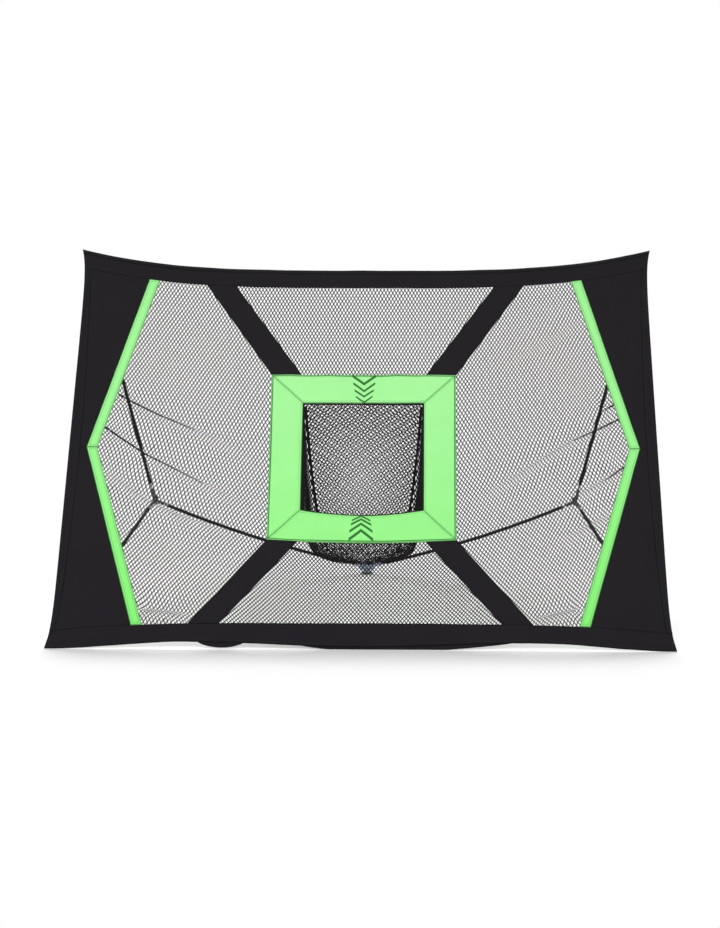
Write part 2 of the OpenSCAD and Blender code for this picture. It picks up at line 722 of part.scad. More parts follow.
pad_edge = 1; // worn edge of the pad
module foot_pad() {
    color(sleeve_black) translate([0, front_y + rear_joint_y, 0]) union() {
        cylinder(r1 = foot_r - pad_edge, r2 = foot_r, h = pad_edge);
        translate([0, 0, pad_edge]) cylinder(r = foot_r, h = pad_t - pad_edge);
    }
}

top_band();
bottom_band();
side_panel_upper("left");  // side_panel_left_upper
side_panel_lower("left");  // side_panel_left_lower
side_panel_upper("right");  // side_panel_right_upper
side_panel_lower("right");  // side_panel_right_lower
side_hem("left");  // side_hem_left
side_hem("right");  // side_hem_right
ground_flap();
net_top();
net_bottom();
net_left();
net_right();
strap_upper("left");  // strap_upper_left
strap_upper("right");  // strap_upper_right
strap_lower("left");  // strap_lower_left
strap_lower("right");  // strap_lower_right
trim_upper("left");  // trim_left_upper
trim_lower("left");  // trim_left_lower
trim_upper("right");  // trim_right_upper
trim_lower("right");  // trim_right_lower
border_side(0);  // border_top
border_bottom();
border_side(90);  // border_left
border_side(-90);  // border_right
catch_bag();
corner_pouch_upper("left");  // corner_pouch_upper_left
corner_pouch_upper("right");  // corner_pouch_upper_right
corner_pouch_lower("left");  // corner_pouch_lower_left
corner_pouch_lower("right");  // corner_pouch_lower_right
side_connector("left");  // side_connector_left
side_connector("right");  // side_connector_right
side_pin("left");  // side_pin_left
side_pin("right");  // side_pin_right
rod_upper("left");  // rod_upper_left
rod_upper("right");  // rod_upper_right
rod_lower("left");  // rod_lower_left
rod_lower("right");  // rod_lower_right
sleeve_upper("left");  // sleeve_upper_left
sleeve_upper("right");  // sleeve_upper_right
sleeve_lower("left");  // sleeve_lower_left
sleeve_lower("right");  // sleeve_lower_right
tip_upper("left");  // tip_upper_left
tip_upper("right");  // tip_upper_right
tip_lower("left");  // tip_lower_left
tip_lower("right");  // tip_lower_right
rear_rod("left");  // rear_rod_left
rear_rod("right");  // rear_rod_right
rear_sleeve("left");  // rear_sleeve_left
rear_sleeve("right");  // rear_sleeve_right
side_eye("left");  // side_eye_left
side_eye("right");  // side_eye_right
hub_eye("left");  // hub_eye_left
hub_eye("right");  // hub_eye_right
rear_hub();
hub_pins();
foot_pad();
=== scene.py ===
import math
import bmesh
import bpy
from mathutils import Matrix, Vector, noise


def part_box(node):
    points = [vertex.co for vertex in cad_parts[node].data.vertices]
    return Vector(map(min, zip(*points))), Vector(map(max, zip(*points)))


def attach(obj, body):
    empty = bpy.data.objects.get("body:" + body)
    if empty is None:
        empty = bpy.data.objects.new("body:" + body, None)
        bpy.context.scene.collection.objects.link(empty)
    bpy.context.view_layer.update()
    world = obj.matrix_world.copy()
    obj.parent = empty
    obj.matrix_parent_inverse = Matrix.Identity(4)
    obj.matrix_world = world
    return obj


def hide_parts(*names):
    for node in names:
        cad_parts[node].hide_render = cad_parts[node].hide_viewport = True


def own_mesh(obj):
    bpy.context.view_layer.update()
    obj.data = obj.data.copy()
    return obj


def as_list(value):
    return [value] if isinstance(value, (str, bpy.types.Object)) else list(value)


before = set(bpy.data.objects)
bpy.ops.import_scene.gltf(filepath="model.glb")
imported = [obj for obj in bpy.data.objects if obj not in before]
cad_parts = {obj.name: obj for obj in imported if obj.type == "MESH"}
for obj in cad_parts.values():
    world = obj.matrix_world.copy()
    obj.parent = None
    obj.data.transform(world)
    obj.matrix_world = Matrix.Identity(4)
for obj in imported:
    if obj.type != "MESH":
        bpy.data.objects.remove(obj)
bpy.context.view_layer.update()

print("frame loaded")


# Camera and room
room = {
    "cameraAt": (0.1241, -5.7374, 1.4003),  # from the screen's lower edge
    "cameraTilt": 80.0,  # degrees up from looking straight down
    "cameraTurn": 1.236,
    "lens": 111.4,
    "floorSize": 400.0,
    "floorWhite": 0.7,
    "dust": 0.01,  # how much paler the floor is in places
    "shadowAt": (0, -0.42, 0),  # round this place the floor shows its lit shadow; further out a painted white glow fades the shadow out
    "whiteFrom": 0.74,
    "whiteAt": 1.05,
    "frontWhite": (0.02, -0.21),  # the same glow fade, straight out in front; it sets where the shadow ends there
    "skyLight": 0.3,
    "keyLight": 146.0,
    "fillLight": 73.0,
    "lowBackLight": 4600.0,
    "highBackLight": 2900.0,
}

camera = bpy.data.objects.new("camera", bpy.data.cameras.new("camera"))
camera.data.lens = room["lens"]
camera.data.sensor_width = 36
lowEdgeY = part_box("bottom_band")[0].y + 0.0008  # the plane of the screen is just behind the band's edge
camera.location = Vector(room["cameraAt"]) + Vector((0, lowEdgeY, 0))
camera.rotation_euler = (math.radians(room["cameraTilt"]), 0, math.radians(room["cameraTurn"]))
camera.data.clip_end = 500
bpy.context.collection.objects.link(camera)
bpy.context.scene.camera = camera
bpy.context.scene.view_settings.view_transform = "Standard"


# One socket of a shader, so that maths on it can be written as plain sums
class Wire:
    def __init__(self, tree, socket):
        self.tree = tree
        self.socket = socket

    def node(self, kind, settings, values, out=0):
        made = self.tree.nodes.new(kind)
        for name, value in settings.items():
            setattr(made, name, value)
        for name, value in values.items():
            if isinstance(value, Wire):
                self.tree.links.new(value.socket, made.inputs[name])
            else:
                made.inputs[name].default_value = value
        return Wire(self.tree, made.outputs[out])

    def maths(self, operation, *values):
        return self.node("ShaderNodeMath", {"operation": operation}, dict(enumerate(values)))

    def __add__(self, other):
        return self.maths("ADD", self, other)

    __radd__ = __add__

    def __mul__(self, other):
        return self.maths("MULTIPLY", self, other)

    __rmul__ = __mul__

    def __sub__(self, other):
        return self.maths("SUBTRACT", self, other)

    def __rsub__(self, other):
        return self.maths("SUBTRACT", other, self)

    def size(self):
        return self.maths("ABSOLUTE", self)

    def sine(self):
        return self.maths("SINE", self)

    def larger(self, other):
        return self.maths("MAXIMUM", self, other)

    def smaller(self, other):
        return self.maths("MINIMUM", self, other)

    def raised(self, power):
        return self.maths("POWER", self, power)

    def fade(self, start, end):  # 0 at start, 1 at end, smooth between
        return self.node("ShaderNodeMapRange", {"interpolation_type": "SMOOTHSTEP"},
                         {"Value": self, "From Min": start, "From Max": end})

    def paint(self, under, over):  # this value picks between two colours
        return self.node("ShaderNodeMix", {"data_type": "RGBA"}, {0: self, 6: under, 7: over}, 2)

    def part(self, number):  # 0, 1 or 2 of a vector
        return self.node("ShaderNodeSeparateXYZ", {}, {0: self}, number)

    def cloud(self, scale, detail=3.0, roughness=0.55):
        return self.node("ShaderNodeTexNoise", {}, {"Vector": self, "Scale": scale, "Detail": detail,
                                                    "Roughness": roughness})

    def stretch(self, x, y, z):
        return self.node("ShaderNodeMapping", {}, {"Vector": self, "Scale": (x, y, z)})


def newFinish(name):
    finish = bpy.data.materials.new(name)
    finish.use_nodes = True
    tree = finish.node_tree
    start = Wire(tree, tree.nodes.new("ShaderNodeTexCoord").outputs["Object"])
    return finish, tree.nodes["Principled BSDF"], start


def setShader(shader, start, fixed, moving, bump=None, depth=0.0):
    for name, value in fixed.items():
        shader.inputs[name].default_value = value
    for name, wire in moving.items():
        start.tree.links.new(wire.socket, shader.inputs[name])
    if bump is not None:
        raised = start.node("ShaderNodeBump", {}, {"Height": bump, "Distance": depth})
        start.tree.links.new(raised.socket, shader.inputs["Normal"])


def uvWire(start, name):
    return start.node("ShaderNodeUVMap", {"uv_map": name}, {})


def shade(r, g, b):  # a colour as the eye names it, 0 to 255, made linear
    return tuple((v / 255 / 12.92) if v / 255 <= 0.04045 else ((v / 255 + 0.055) / 1.055) ** 2.4
                 for v in (r, g, b)) + (1.0,)


def tinted(colour, gain, lift=0.0):  # the colour made lighter or darker
    return tuple(min(1.0, c * gain + lift) for c in colour[:3]) + (1.0,)


# The screen in its own plane, in millimetres: x across, h up the slope, z out of the front
screen = {
    "lean": 38, "frontY": lowEdgeY * 1000, "lift": 0.616,
    "lowWidth": 1300, "topWidth": 1254, "height": 968, "flare": 12, "flareHeight": 42,
    "topSag": 54, "topPower": 3.4, "bottomLift": 17, "crest": 354, "middleDip": 0.3,
    "topBand": 44, "lowBand": 53, "lowSeamLift": 0.4, "lowNarrowing": 0.42, "hem": 23, "hemEnd": 9,
    "windowEnd": 949, "windowMid": 1179, "apex": 471, "trim": 23,
    "border": 398, "mouth": 260, "pocket": 451, "sag": 12.5, "sagInside": 12,
    "strap": 65, "strapTop": 348, "strapLow": 357,
}
lean = math.radians(screen["lean"])
halfLow, halfTop = screen["lowWidth"] / 2, screen["topWidth"] / 2
tall, flare = screen["height"], screen["flare"]
windowX, apexX, apexH = screen["windowEnd"] / 2, screen["windowMid"] / 2, screen["apex"]
borderHalf, mouthHalf, pocketH = screen["border"] / 2, screen["mouth"] / 2, screen["pocket"]
pocketTop, pocketLow = pocketH + borderHalf, pocketH - borderHalf
screenPlace = Matrix(((0.001, 0, 0, 0),
                      (0, 0.001 * math.sin(lean), -0.001 * math.cos(lean), 0.001 * screen["frontY"]),
                      (0, 0.001 * math.cos(lean), 0.001 * math.sin(lean), 0.001 * screen["lift"]),
                      (0, 0, 0, 1)))


# Woven cloth: plain weave, slubs, a seam line and a row of stitches near every edge
clothLook = {
    "thread": 0.0011,  # width of two threads
    "slub": (30, 900),  # clouds in a metre along a thick thread and across it
    "mottle": 9.0,  # clouds in a metre
    "lighter": (1.35, 0.002),
    "darker": 0.62,
    "weaveDepth": 0.00012,
    "stitchFrom": 0.0046,  # from the edge of a panel
    "stitchWide": 0.0008,
    "stitchLong": 0.0042,
    "gully": (0.0022, 0.0004),  # the row of stitches lies in a gully that fades between these
    "quilt": (0.5, 1.2),  # depth and half width of the same gully in the mesh, in millimetres
}


def wovenFinish(name, base, thread, seam, rough, glow, joinWide, paintedSheen=0.0, extraMask=None):
    finish, shader, start = newFinish(name)
    cut = uvWire(start, "cut")
    seamMap = uvWire(start, "seam")
    fromEdge, along = seamMap.part(0), seamMap.part(1)
    x, y = cut.part(0), cut.part(1)
    turn = 2 * math.pi / clothLook["thread"]
    weave = (x * turn).sine() * (y * turn).sine()
    few, many = clothLook["slub"]
    slub = cut.stretch(few, many, 1).cloud(1.0) * 0.5 + cut.stretch(many, few, 1).cloud(1.0) * 0.5
    broad = cut.cloud(clothLook["mottle"], 4.0)
    half = clothLook["stitchWide"] / 2
    offRow = (fromEdge - clothLook["stitchFrom"]).size()
    dash = ((along * (2 * math.pi / clothLook["stitchLong"])).sine() + 0.75).fade(0.0, 0.3)
    stitch = offRow.fade(half * 1.3, half * 0.7) * dash
    gully = offRow.fade(*clothLook["gully"])
    join = fromEdge.fade(joinWide, joinWide * 0.3) * fromEdge.fade(0.0, 0.0004)
    mottle = (broad - 0.5) * glow + (slub - 0.5) * glow * 1.6 + weave * glow * 0.35
    colour = (mottle + 0.5).paint(tinted(base, clothLook["darker"]), tinted(base, *clothLook["lighter"]))
    if paintedSheen:  # painted sheen: paler towards the top, where the light grazes it
        colour = (y.fade(0.0, 0.75) * paintedSheen).paint(colour, (1, 1, 1, 1))
    colour = stitch.paint(colour, thread)
    colour = join.paint(colour, seam)
    if extraMask is not None:
        colour = extraMask(x, y).paint(colour, seam)
    height = weave * 0.5 + slub * 0.8 - gully * 2.2 + stitch * 2.6 - join * 2.5
    roughness = (broad - 0.5) * 0.12 + rough
    setShader(shader, start, {"Specular IOR Level": 0.15}, {"Base Color": colour, "Roughness": roughness},
              height, clothLook["weaveDepth"])
    return finish


# Chevrons printed on the pocket border: middle, point height, half width, rise and stroke, in millimetres
chevrons = {
    "down": [(1.0, 626.4, 26.4, 22.2, 6.0), (1.2, 608.4, 23.6, 20.2, 4.8),
             (1.4, 595.2, 20.8, 15.8, 4.2), (1.6, 581.8, 18.0, 13.6, 3.6)],
    "up": [(-1.2, 307.6, 19.5, 11.2, 3.4), (-1.2, 299.6, 21.4, 12.8, 4.2),
           (-1.3, 288.9, 24.2, 17.8, 5.0), (-1.3, 273.4, 26.0, 21.7, 6.0)],
}
borderLine = {"from": 196.0, "sag": 6.2, "fade": (1.3, 0.7)}  # sewn just inside the border's outer edge
hemShadeLine = {"drop": 9.2, "fade": (2.4, 1.2)}  # painted shade: a dark line in the groove under the rolled top edge, along its stitching


def chevronMask(x, y):
    mask = None
    for way, marks in chevrons.items():
        sign = 1 if way == "down" else -1
        for middle, point, half, rise, stroke in marks:
            side = (x * 1000 - middle).size()
            off = ((y * 1000 - point) * sign - side * (rise / half)).size()
            band = off.fade(stroke * 0.72, stroke * 0.52) * side.fade(half + 0.5, half - 0.5)
            mask = band if mask is None else mask.larger(band)
    rise = y * 1000 - pocketH
    low = x * x * (1e6 * borderLine["sag"] / borderHalf ** 2) - rise - borderLine["sag"]
    outline = (x * 1000).size().larger(rise).larger(low)
    sewn = (outline - borderLine["from"]).size().fade(*borderLine["fade"])
    return mask.larger(sewn) * 0.95


# paints the dark line under the rolled top edge: painted shade, not thread
def hemShadeMask(x, y):
    bow = (x.size() * (1000 / halfTop)).smaller(1.0).raised(screen["topPower"]) * screen["topSag"]
    drop = bow - y * 1000 + (tall - screen["topSag"])
    return (drop - hemShadeLine["drop"]).size().fade(*hemShadeLine["fade"])


# both green cloths carry a painted sheen that pales them towards the top
greenCloth = wovenFinish("green_cloth", shade(130, 242, 115), shade(50, 150, 58), shade(24, 100, 32), 0.7,
                         glow=0.05, joinWide=0.0022, paintedSheen=0.13)
borderCloth = wovenFinish("border_cloth", shade(138, 247, 124), shade(84, 190, 80), shade(24, 100, 32), 0.7,
                          glow=0.13, joinWide=0.0018, paintedSheen=0.13, extraMask=chevronMask)
blackCloth = wovenFinish("black_cloth", shade(17, 14, 19), shade(33, 30, 36), shade(4, 4, 5), 0.8,
                         glow=0.2, joinWide=0.002, extraMask=hemShadeMask)


def netFinish(name, base, turns=5200):  # turns of the yarn, in radians to the metre
    finish, shader, start = newFinish(name)
    cut = uvWire(start, "cut")
    x, y = cut.part(0), cut.part(1)
    twist = ((x + y) * turns).sine() * ((x - y) * turns).sine()
    fuzz = cut.cloud(2600.0, 2.0)
    colour = (twist * 0.25 + fuzz * 0.5).paint(base, tinted(base, 1.9))
    setShader(shader, start, {"Specular IOR Level": 0.04},
              {"Base Color": colour, "Roughness": fuzz * 0.15 + 0.8}, twist + fuzz, 0.00015)
    return finish


blackNet = netFinish("black_net", shade(31, 29, 31))
print("cloth finishes ready")


# The edges of the screen
def sideX(h):
    f = h / tall
    return ((halfLow - flare) * (1 - f) + (halfTop - flare) * f
            + flare * (math.exp(-h / screen["flareHeight"]) + math.exp((h - tall) / screen["flareHeight"])))


def topEdge(x):
    return tall - screen["topSag"] + screen["topSag"] * min(1, abs(x) / halfTop) ** screen["topPower"]


def topSeam(x):
    return topEdge(min(abs(x), halfTop - flare)) - screen["topBand"]


def bottomEdge(x):
    a, high, crest = abs(x), screen["bottomLift"], screen["crest"]
    if a < crest:
        return high * (1 - screen["middleDip"] * (1 + math.cos(math.pi * a / crest)))
    return high / 2 * (1 + math.cos(math.pi * min(1, (a - crest) / (halfLow - crest))))


def bottomSeam(x):
    a = min(abs(x), halfLow - flare)
    wide = screen["lowBand"] * (1 - screen["lowNarrowing"] * (a / halfLow) ** 4)
    return screen["lowSeamLift"] * screen["bottomLift"] + wide


def hemX(h):
    wide = screen["hem"] - screen["hemEnd"]
    return sideX(h) - screen["hemEnd"] - wide * math.sin(math.pi * max(0, min(1, h / tall)))


def sag(x, h):  # none along the mitres, most at the middle of the lower side
    below = pocketH - h
    if below < mouthHalf - screen["sagInside"] or abs(x) >= below:
        return 0
    return screen["sag"] * (1 - (below - mouthHalf) / (borderHalf - mouthHalf) / 2) * (1 - (x / below) ** 2)


def mixPoints(a, b, f):
    return (a[0] * (1 - f) + b[0] * f, a[1] * (1 - f) + b[1] * f)


def rows(length, step, edge=(1.0, 2.4, 4.6, 7.5)):
    # places across a strip, closer together near its two edges
    if length < 4 * edge[-1]:
        edge = edge[:2]
    inner = max(1, round((length - 2 * edge[-1]) / step))
    middle = [edge[-1] + (length - 2 * edge[-1]) * k / inner for k in range(inner + 1)]
    return [0.0] + [e / length for e in edge[:-1]] + [m / length for m in middle] + \
        [1 - e / length for e in reversed(edge[:-1])] + [1.0]


def ridge(off, half):  # 1 on a line, falling away on both sides of it
    return math.exp(-(off / half) ** 2)


def nearBox(x, h, points, reach):  # whether a place is within reach of the box round some points
    xs, hs = zip(*points)
    return min(xs) - reach < x < max(xs) + reach and min(hs) - reach < h < max(hs) + reach


# Folds and ripples that tension pulls into the cloth and the net
folds = [  # line, height, half width, ripple spacing, share of the line that is a sharp crease
    ([(-557, 524), (-519, 494), (-483, 468), (-460, 452), (-398, 418), (-340, 385), (-279, 350), (-219, 327)],
     3.4, 9, 15, 0.72),
    ([(-529, 602), (-504, 585), (-435, 548), (-360, 513), (-283, 472), (-220, 434)], 2.4, 12, 17, 0.6),
    ([(-552, 413), (-518, 390), (-481, 361), (-450, 340), (-381, 305), (-315, 276), (-235, 236)],
     2.4, 10, 14, 0),
    ([(-463, 88), (-404, 84), (-342, 71)], 3.0, 9, 16, 0),
    ([(551, 546), (501, 517), (448, 490), (387, 449), (302, 386), (244, 348)], 3.2, 9, 15, 0.4),
    ([(539, 579), (513, 563)], 2.2, 9, 15, 0.9),
    ([(558, 431), (522, 402), (481, 375), (453, 351)], 2.6, 12, 14, 0.4),
    ([(523, 311), (483, 290), (415, 247)], 2.2, 12, 16, 0),
    ([(454, 95), (354, 68)], 3.0, 9, 16, 0),
    ([(480, 790), (316, 676)], 1.3, 20, 20, 0),
]
foldLook = {"reach": 60, "fade": 3, "least": 0.15, "narrow": 0.6, "spread": 1.6}  # it fades and widens


def lineDistance(x, h, line):
    best, place = 1e9, 0.0
    for k in range(len(line) - 1):
        ax, ay = line[k]
        dx, dy = line[k + 1][0] - ax, line[k + 1][1] - ay
        f = max(0.0, min(1.0, ((x - ax) * dx + (h - ay) * dy) / (dx * dx + dy * dy)))
        far = math.hypot(x - ax - f * dx, h - ay - f * dy)
        if far < best:
            best, place = far, (k + f) / (len(line) - 1)
            side = 1 if (x - ax) * dy - (h - ay) * dx > 0 else -1
    return best * side, place


def foldHeight(x, h):
    z = 0.0
    for line, height, wide, ripple, sharp in folds:
        if nearBox(x, h, line, foldLook["reach"]):
            off, place = lineDistance(x, h, line)
            fading = min(1, (1 - place) * foldLook["fade"] + foldLook["least"])
            spread = wide * (foldLook["narrow"] + foldLook["spread"] * place)
            z += height * fading * ridge(off, spread) * math.cos(2 * math.pi * off / ripple)
    return z


def slackHeight(x, h, size, scale):
    return size * noise.noise(Vector((x / scale, h / scale, 3.7))) + \
        0.4 * size * noise.noise(Vector((x / scale * 2.3, h / scale * 2.3, 9.1)))


def slack(size, scale):
    return lambda x, h: slackHeight(x, h, size, scale)


def markCut(bm):  # where each point lies on the flat cloth
    cutMap = bm.loops.layers.uv.new("cut")
    for face in bm.faces:
        for loop in face.loops:
            loop[cutMap].uv = (loop.vert.co.x / 1000, loop.vert.co.y / 1000)


def lastPlace(bm, name, finish, place, smooth=True):
    if bm.loops.layers.uv.get("cut") is None:
        markCut(bm)
    bmesh.ops.transform(bm, matrix=place, verts=bm.verts)
    bm.normal_update()
    mesh = bpy.data.meshes.new(name)
    bm.to_mesh(mesh)
    bm.free()
    if smooth:
        mesh.shade_smooth()
    mesh.materials.append(finish)
    piece = bpy.data.objects.new(name, mesh)
    bpy.context.collection.objects.link(piece)
    return piece


def hangOnScreen(piece, node, slot, flat, area, rests):
    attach(piece, "screen")
    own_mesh(piece)
    if node:
        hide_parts(node)
    flat[0] / 1000
    flat[1] / 1000
    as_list(rests)


def clothPiece(name, low, high, left, right, look):
    # a panel between four edges, each a function of 0 to 1
    corner = (low(0), low(1), high(0), high(1))
    places = [k / 20 for k in range(21)]
    wide = max(math.dist(left(f), right(f)) for f in places)
    long = max(math.dist(low(f), high(f)) for f in places)
    us, vs = rows(wide, look["stepU"]), rows(long, look["stepV"])
    bm = bmesh.new()
    bmesh.ops.create_grid(bm, x_segments=len(us) - 1, y_segments=len(vs) - 1, size=0.5)
    seamMap = bm.loops.layers.uv.new("seam")
    spot = {}  # how far each point is from the nearest edge, and how far along it
    for vert in bm.verts:
        u = us[round((vert.co.x + 0.5) * (len(us) - 1))]
        v = vs[round((vert.co.y + 0.5) * (len(vs) - 1))]
        across, up = mixPoints(low(u), high(u), v), mixPoints(left(v), right(v), u)
        flat = mixPoints(mixPoints(corner[0], corner[1], u), mixPoints(corner[2], corner[3], u), v)
        vert.co = Vector((across[0] + up[0] - flat[0], across[1] + up[1] - flat[1], look["front"]))
        lengthU, lengthV = math.dist(left(v), right(v)), math.dist(low(u), high(u))
        spot[vert] = min((u * lengthU, v * lengthV), ((1 - u) * lengthU, v * lengthV),
                         (v * lengthV, u * lengthU), ((1 - v) * lengthV, u * lengthU))
    for face in bm.faces:
        for loop in face.loops:
            loop[seamMap].uv = (spot[loop.vert][0] / 1000, spot[loop.vert][1] / 1000)
    area = sum(face.calc_area() for face in bm.faces)
    bmesh.ops.solidify(bm, geom=bm.faces[:], thickness=look["thick"])
    depth, half = clothLook["quilt"]
    for vert in bm.verts:
        z = look["relief"](vert.co.x, vert.co.y)
        if vert in spot:
            gap = spot[vert][0]
            z += look["puff"] * (1 - math.exp(-gap / look["puffEdge"]))
            z -= depth * ridge(gap - 1000 * clothLook["stitchFrom"], half) * look["quilt"]
        vert.co.z += z
    piece = lastPlace(bm, name + "_cloth", look["finish"], screenPlace)
    hangOnScreen(piece, name, look["slot"], (wide, long), min(area, 0.999 * wide * long) / 1e6, look["rests"])


def line(a, b):
    return lambda f: mixPoints(a, b, f)


def alongX(a, b, edge):  # from x = a to x = b, at the height edge(x)
    return lambda f: (a + (b - a) * f, edge(a + (b - a) * f))


def alongH(a, b, edge):  # from height a to height b, at x = edge(h)
    return lambda f: (edge(a + (b - a) * f), a + (b - a) * f)


def flipped(curve):
    return lambda f: (-curve(f)[0], curve(f)[1])


def onSide(side, low, high, inner, outer):  # the edges of a piece on the right, or of its twin on the left
    if side > 0:
        return [low, high, inner, outer]
    return [flipped(lambda f, c=c: c(1 - f)) for c in (low, high)] + [flipped(outer), flipped(inner)]


def rolled(gap, height, middle, half):  # how high a rolled edge stands, gap in from it
    return height * math.sqrt(max(0, 1 - ((gap - middle) / half) ** 2))


# Bands along the top and the bottom
bandLook = {"stepU": 14, "stepV": 4, "thick": 2.0, "front": 1.0, "finish": blackCloth, "slot": "black_fabric",
            "puff": 0.3, "puffEdge": 6, "quilt": 1}
topLook = dict(bandLook, roll=(1.5, 4, 4.2), slack=(1.2, 60), pull=1.3, pullAt=20, wave=12, waveLong=95,
               pullWide=5, pullFull=500)
lowLook = dict(bandLook, roll=(1.2, 3.5, 3.7), slack=(1.4, 70), pull=2.6, pullAt=12, pullSlope=0.16,
               pullWide=6, pullFrom=400, pullFull=650)


def topBandRelief(x, h):
    drop = topEdge(x) - h
    off = drop - topLook["pullAt"] - topLook["wave"] * math.sin(x / topLook["waveLong"])
    pull = topLook["pull"] * ridge(off, topLook["pullWide"]) * min(1, abs(x) / topLook["pullFull"])
    return rolled(drop, *topLook["roll"]) + pull + slackHeight(x, h, *topLook["slack"])


def bottomBandRelief(x, h):
    corner = max(0, (abs(x) - lowLook["pullFrom"]) / (lowLook["pullFull"] - lowLook["pullFrom"]))
    off = h - lowLook["pullAt"] - (lowLook["pullFull"] - abs(x)) * lowLook["pullSlope"]
    pull = lowLook["pull"] * corner * ridge(off, lowLook["pullWide"])
    return rolled(h - bottomEdge(x), *lowLook["roll"]) + pull + slackHeight(x, h, *lowLook["slack"])


topHemH, lowHemH = topSeam(halfTop - flare), bottomSeam(halfLow - flare)
topEnd, lowEnd = alongH(topHemH, tall, sideX), alongH(0, lowHemH, sideX)
clothPiece("top_band", alongX(-sideX(topHemH), sideX(topHemH), topSeam), alongX(-halfTop, halfTop, topEdge),
           flipped(topEnd), topEnd,
           dict(topLook, relief=topBandRelief, rests=["tip_upper_left", "tip_upper_right"]))
clothPiece("bottom_band", alongX(-halfLow, halfLow, bottomEdge),
           alongX(-sideX(lowHemH), sideX(lowHemH), bottomSeam), flipped(lowEnd), lowEnd,
           dict(lowLook, relief=bottomBandRelief, rests=["tip_lower_left", "tip_lower_right"]))

# Side panels between the green trims and the hems
panelLook = dict(bandLook, stepU=9, stepV=11, slack=(2.2, 75), sewn=45,  # flat within this of the bands
                 outer=(3.0, 608, 34, 3, 9),  # a fold: height, place, sway and its turn, half width
                 inner=(2.4, 560, 20, 5, 14))


def panelRelief(x, h):
    a, f = abs(x), h / tall
    height, place, sway, turn, half = panelLook["outer"]
    outer = height * ridge(a - place + sway * math.sin(turn * f), half) * math.sin(math.pi * f)
    height, place, sway, turn, half = panelLook["inner"]
    inner = height * ridge(a - place - sway * math.cos(turn * f), half) * math.sin(math.pi * f * 2) ** 2
    held = max(0, min(1, (topSeam(x) - h) / panelLook["sewn"], (h - bottomSeam(x)) / panelLook["sewn"]))
    return (outer + inner + slackHeight(x, h, *panelLook["slack"])) * held


middle = line((apexX, apexH), (hemX(apexH), apexH))
topHemX, lowHemX = hemX(topHemH), hemX(lowHemH)
panels = {
    "upper": (middle, alongX(windowX, topHemX, topSeam), line((apexX, apexH), (windowX, topSeam(windowX))),
              alongH(apexH, topSeam(topHemX), hemX)),
    "lower": (alongX(windowX, lowHemX, bottomSeam), middle,
              line((windowX, bottomSeam(windowX)), (apexX, apexH)), alongH(bottomSeam(lowHemX), apexH, hemX)),
}

# Side hems: a folded strip with a rolled outer edge
hemLook = dict(bandLook, stepU=2.2, stepV=14, quilt=0.4, roll=(1.6, 3.6, 3.8), slack=(0.8, 60))


def hemRelief(x, h):
    return rolled(sideX(h) - abs(x), *hemLook["roll"]) + slackHeight(x, h, *hemLook["slack"])


hemIn, hemOut = alongH(lowHemH, topHemH, hemX), alongH(lowHemH, topHemH, sideX)
hemEdges = (line(hemIn(0), hemOut(0)), line(hemIn(1), hemOut(1)), hemIn, hemOut)

# Green V trims
trimLook = dict(bandLook, stepU=3.5, stepV=16, thick=2.8, front=1.4, finish=greenCloth, slot="green_fabric",
                puff=0.7, puffEdge=3, relief=slack(0.6, 45))
trimX = windowX - screen["trim"]
apex = [(apexX - screen["trim"], apexH), (apexX, apexH)]
trims = {"upper": apex + [(trimX, topSeam(trimX)), (windowX, topSeam(windowX))],
         "lower": [(trimX, bottomSeam(trimX)), (windowX, bottomSeam(windowX))] + apex}

# Straps that run from the pocket's corners to the bands
strapLook = dict(bandLook, stepU=8, stepV=12, thick=2.4, front=1.2, relief=slack(1.0, 60))
strapOut = {"upper": (borderHalf, screen["strapTop"]), "lower": (screen["strapLow"], borderHalf)}
strapIn = {part: [x - screen["strap"] for x in ends] for part, ends in strapOut.items()}

for side, word in ((-1, "left"), (1, "right")):
    for part, edges in panels.items():
        clothPiece(f"side_panel_{word}_{part}", *onSide(side, *edges),
                   dict(panelLook, relief=panelRelief, rests=[f"side_hem_{word}", f"trim_{word}_{part}"]))
    clothPiece(f"side_hem_{word}", *onSide(side, *hemEdges),
               dict(hemLook, relief=hemRelief, rests=[f"tip_upper_{word}", f"tip_lower_{word}"]))
    for part, (a, b, c, d) in trims.items():
        clothPiece(f"trim_{word}_{part}", *onSide(side, line(a, b), line(c, d), line(a, c), line(b, d)),
                   dict(trimLook, rests=[f"side_panel_{word}_{part}", f"net_{word}"]))
    for part in ("upper", "lower"):
        (lowIn, highIn), (lowOut, highOut) = strapIn[part], strapOut[part]
        if part == "upper":
            low = line((lowIn, pocketTop), (lowOut, pocketTop))
            high = line((highIn, topSeam(highIn)), (highOut, topSeam(highOut)))
        else:
            low = line((lowIn, bottomSeam(lowIn)), (lowOut, bottomSeam(lowOut)))
            high = alongX(highIn, highOut, lambda x: pocketLow - sag(x, pocketLow))
        edges = onSide(side, low, high, line(low(0), high(0)), line(low(1), high(1)))
        clothPiece(f"strap_{part}_{word}", *edges,
                   dict(strapLook, rests=["top_band" if part == "upper" else "bottom_band", "border_top"]))
print("bands, panels, trims and straps made")


# Pocket border: four mitred sides, lightly padded, the lower one sagging under the bag
borderLook = dict(bandLook, stepU=12, stepV=9, thick=3.0, front=1.5, finish=borderCloth, slot="green_fabric",
                  puff=1.1, puffEdge=7, slack=(2.2, 48), buckle=1.4, buckleLong=21, buckleTilt=0.6,
                  patch=70)  # it buckles in patches about this long


def borderRelief(x, h):
    patch = noise.noise(Vector((x / borderLook["patch"], h / borderLook["patch"], 1)))
    buckle = borderLook["buckle"] * math.sin((x + borderLook["buckleTilt"] * h) / borderLook["buckleLong"])
    return slackHeight(x, h, *borderLook["slack"]) + buckle * patch


